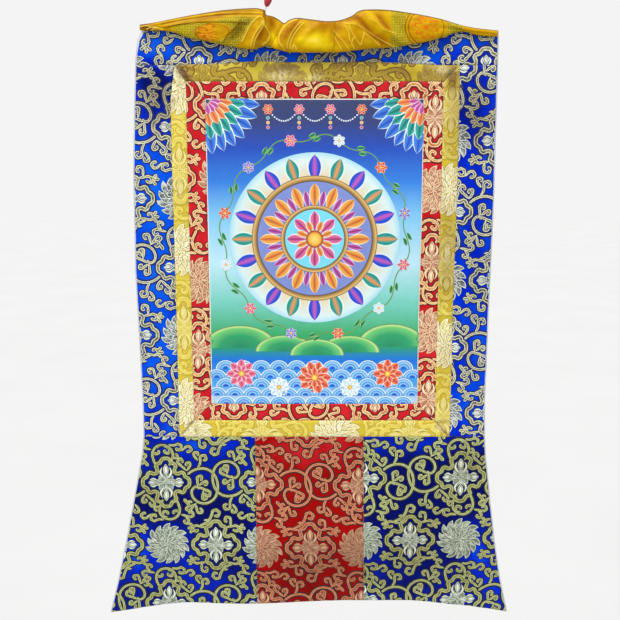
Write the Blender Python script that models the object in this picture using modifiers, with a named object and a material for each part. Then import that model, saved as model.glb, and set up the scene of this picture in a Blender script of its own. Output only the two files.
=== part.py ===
"""A hanging scroll painting in the Himalayan manner (a thangka), as it hangs on a wall.

A painted canvas sits in a red and a gold brocade frame with mitred corners. A blue brocade
ground carries them: a strip across the top, one down each side, and a flared skirt of three
panels below. A pale lining closes the back, and a yellow silk veil is gathered over the top
edge, drawn up by a red thread with a knot and a hanging loop.

x runs to the right, z runs up and the front faces -y. The origin is the middle of the top edge
of the brocade. Sizes are metres, and a drop is a distance down from the top edge.
"""

import math
from collections import namedtuple

import bmesh
import bpy
import numpy as np

# The painted canvas, and the width of each frame around it.
PICTURE_WIDTH = 0.420
PICTURE_HEIGHT = 0.605
PICTURE_DROP = 0.126
RED_SIDE, RED_TOP, RED_BOTTOM = 0.0365, 0.032, 0.035
GOLD_SIDE, GOLD_TOP, GOLD_BOTTOM = 0.0305, 0.030, 0.035

# Cloth, and the room that sewn neighbours leave each other.
BROCADE = 0.0012
LINING = 0.0010
SILK = 0.0011
SEAM = 0.0004
LINING_GAP = 0.0007
VEIL_GAP = 0.0005

# The blue ground's left and right edges, each as a distance from the middle.
Edge = namedtuple("Edge", "drop left right")
GROUND_EDGES = (
    Edge(0.000, 0.3240, 0.3450),
    Edge(0.018, 0.3343, 0.3458),
    Edge(0.055, 0.3394, 0.3466),
    Edge(0.129, 0.3441, 0.3475),
    Edge(0.260, 0.3499, 0.3476),
    Edge(0.457, 0.3542, 0.3479),
    Edge(0.578, 0.3516, 0.3472),
    Edge(0.723, 0.3491, 0.3453),
    Edge(0.801, 0.3494, 0.3480),
    Edge(0.841, 0.3543, 0.3514),
    Edge(0.939, 0.3744, 0.3642),
    Edge(1.028, 0.3931, 0.3769),
    Edge(1.118, 0.4135, 0.3930),
    Edge(1.194, 0.4335, 0.4110),
)
# The red panel's two seams in the skirt.
SKIRT_SEAMS = (Edge(0.801, 0.1222, 0.1007), Edge(1.170, 0.1206, 0.1053))
# The gold frame's outer seam, drawn in a little at its upper left corner.
GOLD_SEAMS = (Edge(0.064, 0.2670, 0.2755), Edge(0.129, 0.2765, 0.2775), Edge(0.801, 0.2770, 0.2770))

# The skirt's hem, which hangs lower at its corners.
Hem = namedtuple("Hem", "x drop")
HEM = (
    Hem(-0.4325, 1.1925),
    Hem(-0.3939, 1.1881),
    Hem(-0.3082, 1.1749),
    Hem(-0.2654, 1.1708),
    Hem(0.0328, 1.1690),
    Hem(0.1073, 1.1673),
    Hem(0.2031, 1.1627),
    Hem(0.2457, 1.1650),
    Hem(0.3312, 1.1765),
    Hem(0.4108, 1.1930),
)
# Strips that share a long upright seam have their corners at the same drops.
UPRIGHT_ROWS = 22
# How far the lining shows past the brocade on the two sides.
LINING_SHOWS = 0.0025

# Soft waves across the hanging cloth: their length, the tilt of their crests, and their height.
Wave = namedtuple("Wave", "length tilt height phase")
WAVES = (
    Wave(length=0.640, tilt=5.0, height=0.0022, phase=1.9),
    Wave(length=0.410, tilt=-8.0, height=0.0016, phase=0.4),
    Wave(length=0.300, tilt=16.0, height=0.0009, phase=2.6),
)
WAVES_FROM = 0.16
# Upright flutes in the skirt, which grow towards its hem.
FLUTE_LENGTH = 0.385
FLUTE_HEIGHT = 0.0055
FLUTE_PHASE = 0.65

# The gathered veil: its upper and lower outline and its depth along the top edge.
Gather = namedtuple("Gather", "x top bottom depth")
VEIL = (
    Gather(-0.3290, 0.0091, -0.0018, 0.0075),
    Gather(-0.3068, 0.0127, -0.0025, 0.0080),
    Gather(-0.2700, 0.0210, -0.0045, 0.0105),
    Gather(-0.2400, 0.0268, -0.0155, 0.0130),
    Gather(-0.2158, 0.0307, -0.0200, 0.0150),
    Gather(-0.1780, 0.0361, -0.0280, 0.0165),
    Gather(-0.1403, 0.0388, -0.0350, 0.0175),
    Gather(-0.1180, 0.0394, -0.0372, 0.0180),
    Gather(-0.0990, 0.0365, -0.0330, 0.0180),
    Gather(-0.0883, 0.0290, -0.0300, 0.0175),
    Gather(-0.0746, 0.0203, -0.0364, 0.0160),
    Gather(-0.0577, 0.0140, -0.0392, 0.0150),
    Gather(-0.0464, 0.0190, -0.0400, 0.0165),
    Gather(-0.0332, 0.0224, -0.0403, 0.0180),
    Gather(-0.0049, 0.0196, -0.0409, 0.0185),
    Gather(0.0250, 0.0165, -0.0402, 0.0175),
    Gather(0.0573, 0.0212, -0.0407, 0.0170),
    Gather(0.0704, 0.0285, -0.0396, 0.0180),
    Gather(0.0820, 0.0350, -0.0385, 0.0190),
    Gather(0.0990, 0.0368, -0.0366, 0.0195),
    Gather(0.1419, 0.0350, -0.0336, 0.0190),
    Gather(0.1760, 0.0298, -0.0290, 0.0175),
    Gather(0.2120, 0.0238, -0.0228, 0.0155),
    Gather(0.2400, 0.0180, -0.0150, 0.0125),
    Gather(0.2786, 0.0072, -0.0040, 0.0085),
    Gather(0.3029, 0.0030, -0.0100, 0.0080),
    Gather(0.3440, -0.0015, -0.0136, 0.0075),
)
# One section through the veil's layers: up behind, over, down in front, and up inside.
# height runs from the lower outline to the upper one, depth from the cloth to the front.
Layer = namedtuple("Layer", "height depth")
VEIL_SECTION = (
    Layer(0.30, 0.00),
    Layer(0.62, 0.02),
    Layer(0.89, 0.10),
    Layer(0.98, 0.25),
    Layer(1.00, 0.42),
    Layer(0.97, 0.62),
    Layer(0.84, 0.82),
    Layer(0.60, 0.95),
    Layer(0.34, 1.00),
    Layer(0.13, 0.96),
    Layer(0.02, 0.84),
    Layer(0.00, 0.70),
    Layer(0.06, 0.54),
    Layer(0.24, 0.47),
    Layer(0.50, 0.45),
    Layer(0.72, 0.44),
)
# Ridges and troughs down the veil's front: lean is how far they run sideways for each metre up.
Fold = namedtuple("Fold", "x width lean height")
VEIL_FOLDS = (
    Fold(x=-0.107, width=0.013, lean=0.34, height=0.0045),
    Fold(x=-0.078, width=0.010, lean=0.20, height=-0.0030),
    Fold(x=-0.047, width=0.012, lean=0.45, height=0.0045),
    Fold(x=0.006, width=0.026, lean=0.10, height=0.0025),
    Fold(x=0.038, width=0.010, lean=0.05, height=-0.0035),
    Fold(x=0.083, width=0.014, lean=-0.60, height=0.0030),
    Fold(x=0.122, width=0.016, lean=-1.60, height=0.0035),
    Fold(x=0.160, width=0.013, lean=-0.90, height=-0.0025),
    Fold(x=0.210, width=0.030, lean=-0.20, height=0.0025),
)

# The veil's mesh has this many steps along the top edge.
VEIL_STEPS = 60
# The red thread that draws the veil up, its knot, and the loop above it. The thread's foot is at
# one of the veil's steps, on the crest of its section, and clears the sloping silk.
THREAD_STEP = 21
THREAD_DIAMETER = 0.0014
THREAD_CLEARS = 0.0007
CORD_DIAMETER = 0.0024
KNOT_TIP = (-0.0905, -0.0090, 0.0440)
KNOT_HEIGHT = 0.0270
KNOT_RADIUS = 0.0073
KNOT_LEAN = math.radians(13.0)
LOOP_HEIGHT = 0.0420
LOOP_WIDTH = 0.0200
TOUCH = 0.0003

Finish = namedtuple("Finish", "colour roughness")
CANVAS = Finish((0.16, 0.36, 0.42), 0.55)
RED = Finish((0.52, 0.03, 0.04), 0.45)
GOLD = Finish((0.66, 0.50, 0.10), 0.38)
BLUE = Finish((0.01, 0.05, 0.42), 0.42)
PALE = Finish((0.82, 0.80, 0.78), 0.80)
YELLOW = Finish((0.72, 0.44, 0.02), 0.35)
CRIMSON = Finish((0.42, 0.02, 0.05), 0.40)

Frame = namedtuple("Frame", "left right top bottom")
Outline = namedtuple("Outline", "left right top bottom")


def clear_scene():
    for obj in list(bpy.data.objects):
        bpy.data.objects.remove(obj, do_unlink=True)


def new_collection(name):
    collection = bpy.data.collections.new(name)
    bpy.context.scene.collection.children.link(collection)
    return collection


def new_material(name, finish):
    material = bpy.data.materials.new(name)
    material.use_nodes = True
    shader = material.node_tree.nodes["Principled BSDF"]
    shader.inputs["Base Color"].default_value = (*finish.colour, 1.0)
    shader.inputs["Roughness"].default_value = finish.roughness
    shader.inputs["Metallic"].default_value = 0.0
    return material


def add_object(name, data, collection, finish):
    obj = bpy.data.objects.new(name, data)
    collection.objects.link(obj)
    data.materials.append(new_material(name, finish))
    return obj


def blend(start, end, share):
    return start + (end - start) * share


def reading(rows, key, field):
    """A function that reads one column of a table against another."""
    keys = [getattr(row, key) for row in rows]
    values = [getattr(row, field) for row in rows]
    return lambda place: float(np.interp(place, keys, values))


def steady(value):
    return lambda place: value


def sloping(start, end):
    """A function that runs evenly from start to end as its share goes from 0 to 1."""
    return lambda share: blend(start, end, share)


def mirrored(function):
    return lambda place: -function(place)


def stand_off(x, drop):
    """How far behind the plane of the top edge the hanging cloth lies."""
    offset = 0.0
    for wave in WAVES:
        tilt = math.radians(wave.tilt)
        along = drop * math.cos(tilt) + x * math.sin(tilt)
        offset += wave.height * math.sin(2 * math.pi * along / wave.length + wave.phase)
    offset *= 1.0 - math.exp(-((drop / WAVES_FROM) ** 2)) if drop > 0 else 0.0
    growth = max(0.0, (drop - 0.801) / (1.17 - 0.801)) ** 1.5
    flute = math.sin(2 * math.pi * x / FLUTE_LENGTH + FLUTE_PHASE)
    return offset + FLUTE_HEIGHT * growth * flute


def add_sheet(name, columns, rows, place, thickness, collection, finish):
    """A cloth of even thickness around the surface that place(u, v) gives."""
    mesh = bmesh.new()
    bmesh.ops.create_grid(mesh, x_segments=columns, y_segments=rows, size=0.5)
    for vertex in mesh.verts:
        vertex.co = place(vertex.co.x + 0.5, 0.5 - vertex.co.y)
    data = bpy.data.meshes.new(name)
    mesh.to_mesh(data)
    mesh.free()
    data.shade_smooth()
    obj = add_object(name, data, collection, finish)
    solidify = obj.modifiers.new("Thickness", "SOLIDIFY")
    solidify.thickness = thickness
    solidify.offset = 0.0
    return obj


def surface(outline, behind=0.0):
    """The map from (u, v) to a hanging cloth inside the outline, seams left open."""

    def place(u, v):
        drop = blend(outline.top(u) + SEAM / 2, outline.bottom(u) - SEAM / 2, v)
        x = blend(outline.left(drop) + SEAM / 2, outline.right(drop) - SEAM / 2, u)
        return x, stand_off(x, drop) + behind, -drop

    return place


def grown(frame, side, top, bottom):
    return Frame(frame.left - side, frame.right + side, frame.top - top, frame.bottom + bottom)


def mitred_outlines(inner, outer, outer_left, outer_right):
    """The four strips of a frame whose corners meet on the diagonal."""

    def end(inner_x, outer_x, inner_drop, outer_drop):
        slope = (inner_x - outer_x) / (inner_drop - outer_drop)
        return lambda drop: outer_x + slope * (drop - outer_drop)

    top_left, top_right = outer_left(outer.top), outer_right(outer.top)
    low_left, low_right = outer_left(outer.bottom), outer_right(outer.bottom)
    return {
        "left": Outline(outer_left, steady(inner.left), sloping(outer.top, inner.top),
                        sloping(outer.bottom, inner.bottom)),
        "right": Outline(steady(inner.right), outer_right, sloping(inner.top, outer.top),
                         sloping(inner.bottom, outer.bottom)),
        "top": Outline(end(inner.left, top_left, inner.top, outer.top),
                       end(inner.right, top_right, inner.top, outer.top),
                       steady(outer.top), steady(inner.top)),
        "bottom": Outline(end(inner.left, low_left, inner.bottom, outer.bottom),
                          end(inner.right, low_right, inner.bottom, outer.bottom),
                          steady(inner.bottom), steady(outer.bottom)),
    }


def add_frame(colour, outlines, collection, finish):
    """The four strips of one brocade frame."""
    for side, outline in outlines.items():
        upright = side in ("left", "right")
        columns, rows = (1, UPRIGHT_ROWS) if upright else (12, 1)
        add_sheet(f"{colour}_border_{side}", columns, rows, surface(outline), BROCADE,
                  collection, finish)


def add_skirt(ground_left, ground_right, seam_left, seam_right, seam_drop, collection):
    """The three panels of the flared skirt, with the hem hanging lower at its corners."""
    hem = reading(HEM, "x", "drop")
    spans = (
        ("left", HEM[0].x, -SKIRT_SEAMS[1].left, ground_left, seam_left, 8, BLUE),
        ("centre", -SKIRT_SEAMS[1].left, SKIRT_SEAMS[1].right, seam_left, seam_right, 6, RED),
        ("right", SKIRT_SEAMS[1].right, HEM[-1].x, seam_right, ground_right, 8, BLUE),
    )
    for side, start, end, left, right, columns, finish in spans:
        bottom = lambda u, start=start, end=end: hem(blend(start, end, u))
        outline = Outline(left, right, steady(seam_drop), bottom)
        add_sheet(f"skirt_{side}", columns, 12, surface(outline), BROCADE, collection, finish)


def add_brocade(collection):
    """The picture, its two frames, the blue ground and the skirt, all in one hanging layer."""
    half = PICTURE_WIDTH / 2
    picture = Frame(-half, half, PICTURE_DROP, PICTURE_DROP + PICTURE_HEIGHT)
    red = grown(picture, RED_SIDE, RED_TOP, RED_BOTTOM)
    gold = grown(red, GOLD_SIDE, GOLD_TOP, GOLD_BOTTOM)
    picture_outline = Outline(*(steady(limit) for limit in picture))
    add_sheet("picture_panel", 9, 20, surface(picture_outline), BROCADE, collection, CANVAS)
    red_sides = steady(red.left), steady(red.right)
    add_frame("red", mitred_outlines(picture, red, *red_sides), collection, RED)
    gold_left = mirrored(reading(GOLD_SEAMS, "drop", "left"))
    gold_right = reading(GOLD_SEAMS, "drop", "right")
    add_frame("gold", mitred_outlines(red, gold, gold_left, gold_right), collection, GOLD)

    ground_left = mirrored(reading(GROUND_EDGES, "drop", "left"))
    ground_right = reading(GROUND_EDGES, "drop", "right")
    top = Outline(ground_left, ground_right, steady(0.0), steady(gold.top))
    add_sheet("blue_top_strip", 16, 3, surface(top), BROCADE, collection, BLUE)
    left = Outline(ground_left, gold_left, steady(gold.top), steady(gold.bottom))
    add_sheet("blue_side_left", 2, UPRIGHT_ROWS, surface(left), BROCADE, collection, BLUE)
    right = Outline(gold_right, ground_right, steady(gold.top), steady(gold.bottom))
    add_sheet("blue_side_right", 2, UPRIGHT_ROWS, surface(right), BROCADE, collection, BLUE)
    seam_left = mirrored(reading(SKIRT_SEAMS, "drop", "left"))
    seam_right = reading(SKIRT_SEAMS, "drop", "right")
    add_skirt(ground_left, ground_right, seam_left, seam_right, gold.bottom, collection)


def add_lining(collection):
    """One pale cloth behind everything, a little wider than the brocade."""
    left, right = (reading(GROUND_EDGES, "drop", side) for side in ("left", "right"))
    hem = reading(HEM, "x", "drop")
    outline = Outline(
        lambda drop: -left(drop) - LINING_SHOWS,
        lambda drop: right(drop) + LINING_SHOWS,
        steady(0.0),
        lambda u: hem(blend(HEM[0].x, HEM[-1].x, u)) - SEAM,
    )
    behind = BROCADE / 2 + LINING_GAP + LINING / 2
    add_sheet("lining", 20, 38, surface(outline, behind), LINING, collection, PALE)


def fold_height(x, z):
    """How far the ridges and troughs bring the veil's front forward here."""
    total = 0.0
    for fold in VEIL_FOLDS:
        across = (x - fold.x - fold.lean * z) / fold.width
        total += fold.height * math.exp(-across * across)
    return total


def veil_place(u, v):
    """The gathered veil's surface: u runs along the top edge, v along its layered section."""
    x = blend(VEIL[0].x, VEIL[-1].x, u)
    top, bottom, reach = (reading(VEIL, "x", column)(x) for column in ("top", "bottom", "depth"))
    step = v * (len(VEIL_SECTION) - 1)
    steps = range(len(VEIL_SECTION))
    height = np.interp(step, steps, [layer.height for layer in VEIL_SECTION])
    depth = np.interp(step, steps, [layer.depth for layer in VEIL_SECTION])
    z = blend(bottom + SILK / 2, top - SILK / 2, height)
    seat = BROCADE / 2 + VEIL_GAP + SILK / 2
    forward = seat + reach * depth + fold_height(x, z) * max(0.0, depth - 0.45) / 0.55
    return x, stand_off(x, -z) - forward, z


def add_veil(collection):
    add_sheet("veil", VEIL_STEPS, len(VEIL_SECTION) - 1, veil_place, SILK, collection, YELLOW)


def add_cord_piece(name, points, diameter, collection):
    """A round cord along the points, with closed ends."""
    curve = bpy.data.curves.new(name, "CURVE")
    curve.dimensions = "3D"
    curve.bevel_depth = diameter / 2
    curve.bevel_resolution = 2
    curve.use_fill_caps = True
    spline = curve.splines.new("POLY")
    spline.points.add(len(points) - 1)
    for point, place in zip(spline.points, points):
        point.co = (*place, 1.0)
    return add_object(name, curve, collection, CRIMSON)


def add_knot(collection):
    """A drop-shaped knot, its point down, turned from one profile."""
    steps = 12
    mesh = bmesh.new()
    profile = []
    for step in range(steps + 1):
        share = step / steps
        radius = KNOT_RADIUS * math.sin(math.pi * share**0.72) ** 0.85 if 0 < step < steps else 0.0
        profile.append(mesh.verts.new((radius, 0.0, KNOT_HEIGHT * (1.0 - share))))
    for above, below in zip(profile, profile[1:]):
        mesh.edges.new((above, below))
    data = bpy.data.meshes.new("hanging_knot")
    mesh.to_mesh(data)
    mesh.free()
    knot = add_object("hanging_knot", data, collection, CRIMSON)
    knot.location = KNOT_TIP
    knot.rotation_euler = (0.0, KNOT_LEAN, 0.0)
    screw = knot.modifiers.new("Turn", "SCREW")
    screw.steps = screw.render_steps = 14
    screw.use_merge_vertices = True
    screw.merge_threshold = 1e-5
    screw.use_smooth_shade = True


def knot_top():
    """The middle of the knot's upper end."""
    x, y, z = KNOT_TIP
    return x + KNOT_HEIGHT * math.sin(KNOT_LEAN), y, z + KNOT_HEIGHT * math.cos(KNOT_LEAN)


def loop_points():
    """A drop-shaped loop whose two ends stand side by side on the knot."""
    x, y, z = knot_top()
    foot = z + TOUCH
    start = 0.42
    turns = np.linspace(start, 2 * math.pi - start, 33)
    low = LOOP_HEIGHT * (1.0 - math.cos(start)) / 2
    points = []
    for turn in turns:
        across = 0.65 * LOOP_WIDTH * math.sin(turn) * math.sin(turn / 2)
        up = LOOP_HEIGHT * (1.0 - math.cos(turn)) / 2 - low
        points.append((x - across, y, foot + up))
    return points


def thread_points():
    """From the crest of the veil up to just under the knot's point."""
    heights = [layer.height for layer in VEIL_SECTION]
    crest = heights.index(max(heights)) / (len(VEIL_SECTION) - 1)
    x, y, z = veil_place(THREAD_STEP / VEIL_STEPS, crest)
    foot = (x, y, z + SILK / 2 + THREAD_CLEARS)
    tip = (KNOT_TIP[0], KNOT_TIP[1], KNOT_TIP[2] - TOUCH)
    return [tuple(blend(a, b, step / 4) for a, b in zip(foot, tip)) for step in range(5)]


def add_hanging_cord(collection):
    """The thread, the knot and the loop, one above the other."""
    add_cord_piece("hanging_thread", thread_points(), THREAD_DIAMETER, collection)
    add_knot(collection)
    add_cord_piece("hanging_loop", loop_points(), CORD_DIAMETER, collection)


def main():
    clear_scene()
    collection = new_collection("thangka_scroll_painting")
    add_brocade(collection)
    add_lining(collection)
    add_veil(collection)
    add_hanging_cord(collection)


main()
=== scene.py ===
"""The looks of a hanging scroll painting in the Himalayan manner (a thangka), over its solids.

Every panel is a thin sheet on its solid's folds. The brocade's raised threads are ribbons that
lie on the sheet, laid out from one charted repeat. The painted canvas carries a generic lotus
wheel. The veil is one gathered sheet with its folds placed one by one.

x runs to the right, z runs up and the front faces -y. Sizes are metres, but rows given to table()
and names that end in _MM are in millimetres. A drop is a distance down from the brocade's top
edge.
"""

import math
from collections import namedtuple
from contextlib import contextmanager

import bmesh
import bpy
import numpy as np
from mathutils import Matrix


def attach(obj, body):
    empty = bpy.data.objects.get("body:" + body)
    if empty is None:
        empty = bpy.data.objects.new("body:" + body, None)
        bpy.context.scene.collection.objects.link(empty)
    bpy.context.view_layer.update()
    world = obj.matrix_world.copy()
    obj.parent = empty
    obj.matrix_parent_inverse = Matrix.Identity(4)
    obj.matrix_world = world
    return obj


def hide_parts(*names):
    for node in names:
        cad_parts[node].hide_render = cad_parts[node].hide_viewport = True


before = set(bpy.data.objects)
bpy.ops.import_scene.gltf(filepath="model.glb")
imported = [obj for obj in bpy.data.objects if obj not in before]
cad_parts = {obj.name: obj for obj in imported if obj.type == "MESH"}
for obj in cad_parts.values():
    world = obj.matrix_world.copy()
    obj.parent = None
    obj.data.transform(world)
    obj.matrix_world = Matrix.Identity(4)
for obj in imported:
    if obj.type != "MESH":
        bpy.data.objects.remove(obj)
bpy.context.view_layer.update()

MM = 0.001


def table(kind, plain, *rows):
    """Rows of one kind, in millimetres apart from this many last columns, which stay plain."""
    lengths = max(0, len(kind._fields) - plain)
    return tuple(kind(*(value * MM for value in row[:lengths]), *row[lengths:]) for row in rows)


# ---------------------------------------------------------------------------------------------
# Sizes that the solids were made from.

PICTURE_WIDTH = 0.420
PICTURE_HEIGHT = 0.605
PICTURE_DROP = 0.126
RED_SIDE, RED_TOP, RED_BOTTOM = 0.0365, 0.032, 0.035
GOLD_SIDE, GOLD_TOP, GOLD_BOTTOM = 0.0305, 0.030, 0.035
SKIRT_DROP = 0.801

BROCADE = 0.0012
LINING = 0.0010
SILK = 0.0011
SEAM = 0.0004
LINING_GAP = 0.0007
VEIL_GAP = 0.0005
LINING_SHOWS = 0.0025

# The ground's edges, the seams beside the red panel and those around the gold frame, each as a
# distance from the middle.
Edge = namedtuple("Edge", "drop left right")
GROUND_EDGES = table(
    Edge, 0,
    (0, 324, 345), (18, 334.3, 345.8), (55, 339.4, 346.6), (129, 344.1, 347.5), (260, 349.9, 347.6),
    (457, 354.2, 347.9), (578, 351.6, 347.2), (723, 349.1, 345.3), (801, 349.4, 348),
    (841, 354.3, 351.4), (939, 374.4, 364.2), (1028, 393.1, 376.9), (1118, 413.5, 393),
    (1194, 433.5, 411),
)
SKIRT_SEAMS = table(Edge, 0, (801, 122.2, 100.7), (1170, 120.6, 105.3))
GOLD_SEAMS = table(Edge, 0, (64, 267, 275.5), (129, 276.5, 277.5), (801, 277, 277))
Hem = namedtuple("Hem", "x drop")
HEM = table(
    Hem, 0,
    (-432.5, 1192.5), (-393.9, 1188.1), (-308.2, 1174.9), (-265.4, 1170.8), (32.8, 1169),
    (107.3, 1167.3), (203.1, 1162.7), (245.7, 1165), (331.2, 1176.5), (410.8, 1193),
)

# Waves across the cloth. A tilt is how far the crests turn away from level, in degrees.
Wave = namedtuple("Wave", "length height tilt phase")
WAVES = table(Wave, 2, (640, 2.2, 5, 1.9), (410, 1.6, -8, 0.4), (300, 0.9, 16, 2.6))
WAVES_FROM = 0.16
# Upright flutes in the skirt.
FLUTE_LENGTH = 0.385
FLUTE_HEIGHT = 0.0055
FLUTE_PHASE = 0.65
FLUTES_FULL = 1.17
FLUTE_GROWTH = 1.5

Gather = namedtuple("Gather", "x top bottom depth")
VEIL = table(
    Gather, 0,
    (-329, 9.1, -1.8, 7.5), (-306.8, 12.7, -2.5, 8), (-270, 21, -4.5, 10.5),
    (-240, 26.8, -15.5, 13), (-215.8, 30.7, -20, 15), (-178, 36.1, -28, 16.5),
    (-140.3, 38.8, -35, 17.5), (-118, 39.4, -37.2, 18), (-99, 36.5, -33, 18),
    (-88.3, 29, -30, 17.5), (-74.6, 20.3, -36.4, 16), (-57.7, 14, -39.2, 15),
    (-46.4, 19, -40, 16.5), (-33.2, 22.4, -40.3, 18), (-4.9, 19.6, -40.9, 18.5),
    (25, 16.5, -40.2, 17.5), (57.3, 21.2, -40.7, 17), (70.4, 28.5, -39.6, 18), (82, 35, -38.5, 19),
    (99, 36.8, -36.6, 19.5), (141.9, 35, -33.6, 19), (176, 29.8, -29, 17.5),
    (212, 23.8, -22.8, 15.5), (240, 18, -15, 12.5), (278.6, 7.2, -4, 8.5), (302.9, 3, -10, 8),
    (344, -1.5, -13.6, 7.5),
)
# One section through the veil: up behind, over, down in front and up inside. Its height is a
# share of the way from the lower outline to the upper one, and its depth one of the reach.
Layer = namedtuple("Layer", "height depth")
VEIL_SECTION = table(
    Layer, 2,
    (0.3, 0), (0.62, 0.02), (0.89, 0.1), (0.98, 0.25), (1, 0.42), (0.97, 0.62), (0.84, 0.82),
    (0.6, 0.95), (0.34, 1), (0.13, 0.96), (0.02, 0.84), (0, 0.7), (0.06, 0.54), (0.24, 0.47),
    (0.5, 0.45), (0.72, 0.44),
)
# The veil's front begins at this depth.
FRONT_DEPTH = 0.45
Fold = namedtuple("Fold", "x width height lean")
VEIL_FOLDS = table(
    Fold, 1,
    (-107, 13, 4.5, 0.34), (-78, 10, -3.0, 0.20), (-47, 12, 4.5, 0.45), (6, 26, 2.5, 0.10),
    (38, 10, -3.5, 0.05), (83, 14, 3.0, -0.60), (122, 16, 3.5, -1.60), (160, 13, -2.5, -0.90),
    (210, 30, 2.5, -0.20),
)
VEIL_STEPS = 60
THREAD_STEP = 21
THREAD_CLEARS = 0.0007
CORD_DIAMETER = 0.0024
KNOT_TIP = (-0.0905, -0.0090, 0.0440)
KNOT_HEIGHT = 0.0270
KNOT_RADIUS = 0.0073
# The knot leans by this many degrees.
KNOT_LEAN = 13.0
LOOP_HEIGHT = 0.0420
LOOP_WIDTH = 0.0200
TOUCH = 0.0003

# ---------------------------------------------------------------------------------------------
# Camera, light and floor.

CAMERA_PLACE = (-0.0092, -1.651, -0.2476)
CAMERA_PITCH = math.radians(80.057)
CAMERA_LENS = 48.667
SENSOR = 36.0

FLOOR_Z = -2.30
FLOOR_SIZE = 60.0
FLOOR_DARK = (0.404, 0.404, 0.404)
FLOOR_PALE = (0.424, 0.424, 0.424)
BACKGROUND = (0.905, 0.905, 0.905)
# The studio's light, from the dim side to the bright one, and the way to the bright one.
STUDIO = {0.10: (0.66, 0.66, 0.66), 0.92: (1.45, 1.45, 1.43)}
STUDIO_BRIGHT = (-0.35, -0.55, 0.76)
SUN_STRENGTH = 4.0
SUN_ELEVATION = math.radians(60.0)
SUN_AZIMUTH = math.radians(-28.0)
SUN_SOFTNESS = math.radians(24.0)
# How much brighter a white sheet facing the camera shows than its own colour.
LIGHT_GAIN = 1.45


def blend(start, end, share):
    return start + (end - start) * share


def smooth(share):
    """0 to 1 with flat ends."""
    share = np.clip(share, 0.0, 1.0)
    return share * share * (3.0 - 2.0 * share)


def turned(x, y, degrees):
    """(x, y) along and across a direction this many degrees from the x axis, towards y."""
    cosine, sine = math.cos(math.radians(degrees)), math.sin(math.radians(degrees))
    return x * cosine + y * sine, y * cosine - x * sine


def reading(rows, key, field):
    """A function that reads one column of a table against another."""
    keys = [getattr(row, key) for row in rows]
    values = [getattr(row, field) for row in rows]
    return lambda place: np.interp(place, keys, values)


def eased(keys, values):
    """A function along a smooth curve through the values, with no overshoot at a peak."""
    keys, values = np.array(keys, float), np.array(values, float)
    rise = np.diff(values) / np.diff(keys)
    slope = np.concatenate([rise[:1], (rise[:-1] + rise[1:]) / 2, rise[-1:]])
    slope[1:-1][rise[:-1] * rise[1:] <= 0] = 0.0

    def read(place):
        place = np.clip(place, keys[0], keys[-1])
        i = np.clip(np.searchsorted(keys, place, side="right") - 1, 0, len(keys) - 2)
        width = keys[i + 1] - keys[i]
        t = (place - keys[i]) / width
        bend = (t**3 - 2 * t**2 + t) * slope[i] + (t**3 - t**2) * slope[i + 1]
        return blend(values[i], values[i + 1], t * t * (3 - 2 * t)) + bend * width

    return read


def eased_rows(rows):
    """A smooth curve through a table of two columns."""
    return eased(*zip(*rows))


def linear(level):
    """A screen level from 0 to 255 as linear light."""
    level = level / 255.0
    return level / 12.92 if level <= 0.04045 else ((level + 0.055) / 1.055) ** 2.4


def paint(red, green, blue):
    """The surface colour that shows as this screen colour in this light."""
    return tuple(min(0.95, linear(level) / LIGHT_GAIN) for level in (red, green, blue))


# ---------------------------------------------------------------------------------------------
# The hanging cloth's surface, as in the solids.


def steady(value):
    return lambda place: value


def sloping(start, end):
    return lambda share: blend(start, end, share)


def both_edges(rows):
    """The left and the right edge in a table of edges, as functions of the drop."""
    left, right = (reading(rows, "drop", side) for side in ("left", "right"))
    return (lambda drop: -left(drop)), right


def wave_height(waves, x, drop):
    total = 0.0
    for wave in waves:
        tilt = math.radians(wave.tilt)
        along = drop * math.cos(tilt) + x * math.sin(tilt)
        total = total + wave.height * np.sin(2 * math.pi * along / wave.length + wave.phase)
    return total


def stand_off(x, drop):
    """How far behind the plane of the top edge the hanging cloth lies."""
    free = 1.0 - np.exp(-((np.maximum(drop, 0.0) / WAVES_FROM) ** 2))
    growth = np.maximum(0.0, (drop - SKIRT_DROP) / (FLUTES_FULL - SKIRT_DROP)) ** FLUTE_GROWTH
    flute = np.sin(2 * math.pi * x / FLUTE_LENGTH + FLUTE_PHASE)
    return wave_height(WAVES, x, drop) * free + FLUTE_HEIGHT * growth * flute


Frame = namedtuple("Frame", "left right top bottom")
Outline = namedtuple("Outline", "left right top bottom")


def grown(inner, side, top, bottom):
    return Frame(inner.left - side, inner.right + side, inner.top - top, inner.bottom + bottom)


def mitred_outlines(inner, outer, outer_left, outer_right):
    """The four strips of a frame whose corners meet on the diagonal."""

    def end(inner_x, outer_x, inner_drop, outer_drop):
        slope = (inner_x - outer_x) / (inner_drop - outer_drop)
        return lambda drop: outer_x + slope * (drop - outer_drop)

    top_left, top_right = outer_left(outer.top), outer_right(outer.top)
    low_left, low_right = outer_left(outer.bottom), outer_right(outer.bottom)
    return {
        "left": Outline(outer_left, steady(inner.left), sloping(outer.top, inner.top),
                        sloping(outer.bottom, inner.bottom)),
        "right": Outline(steady(inner.right), outer_right, sloping(inner.top, outer.top),
                         sloping(inner.bottom, outer.bottom)),
        "top": Outline(end(inner.left, top_left, inner.top, outer.top),
                       end(inner.right, top_right, inner.top, outer.top),
                       steady(outer.top), steady(inner.top)),
        "bottom": Outline(end(inner.left, low_left, inner.bottom, outer.bottom),
                          end(inner.right, low_right, inner.bottom, outer.bottom),
                          steady(inner.bottom), steady(outer.bottom)),
    }


# How far an edge is shifted, at places along it.
Shift = namedtuple("Shift", "place by")
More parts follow.
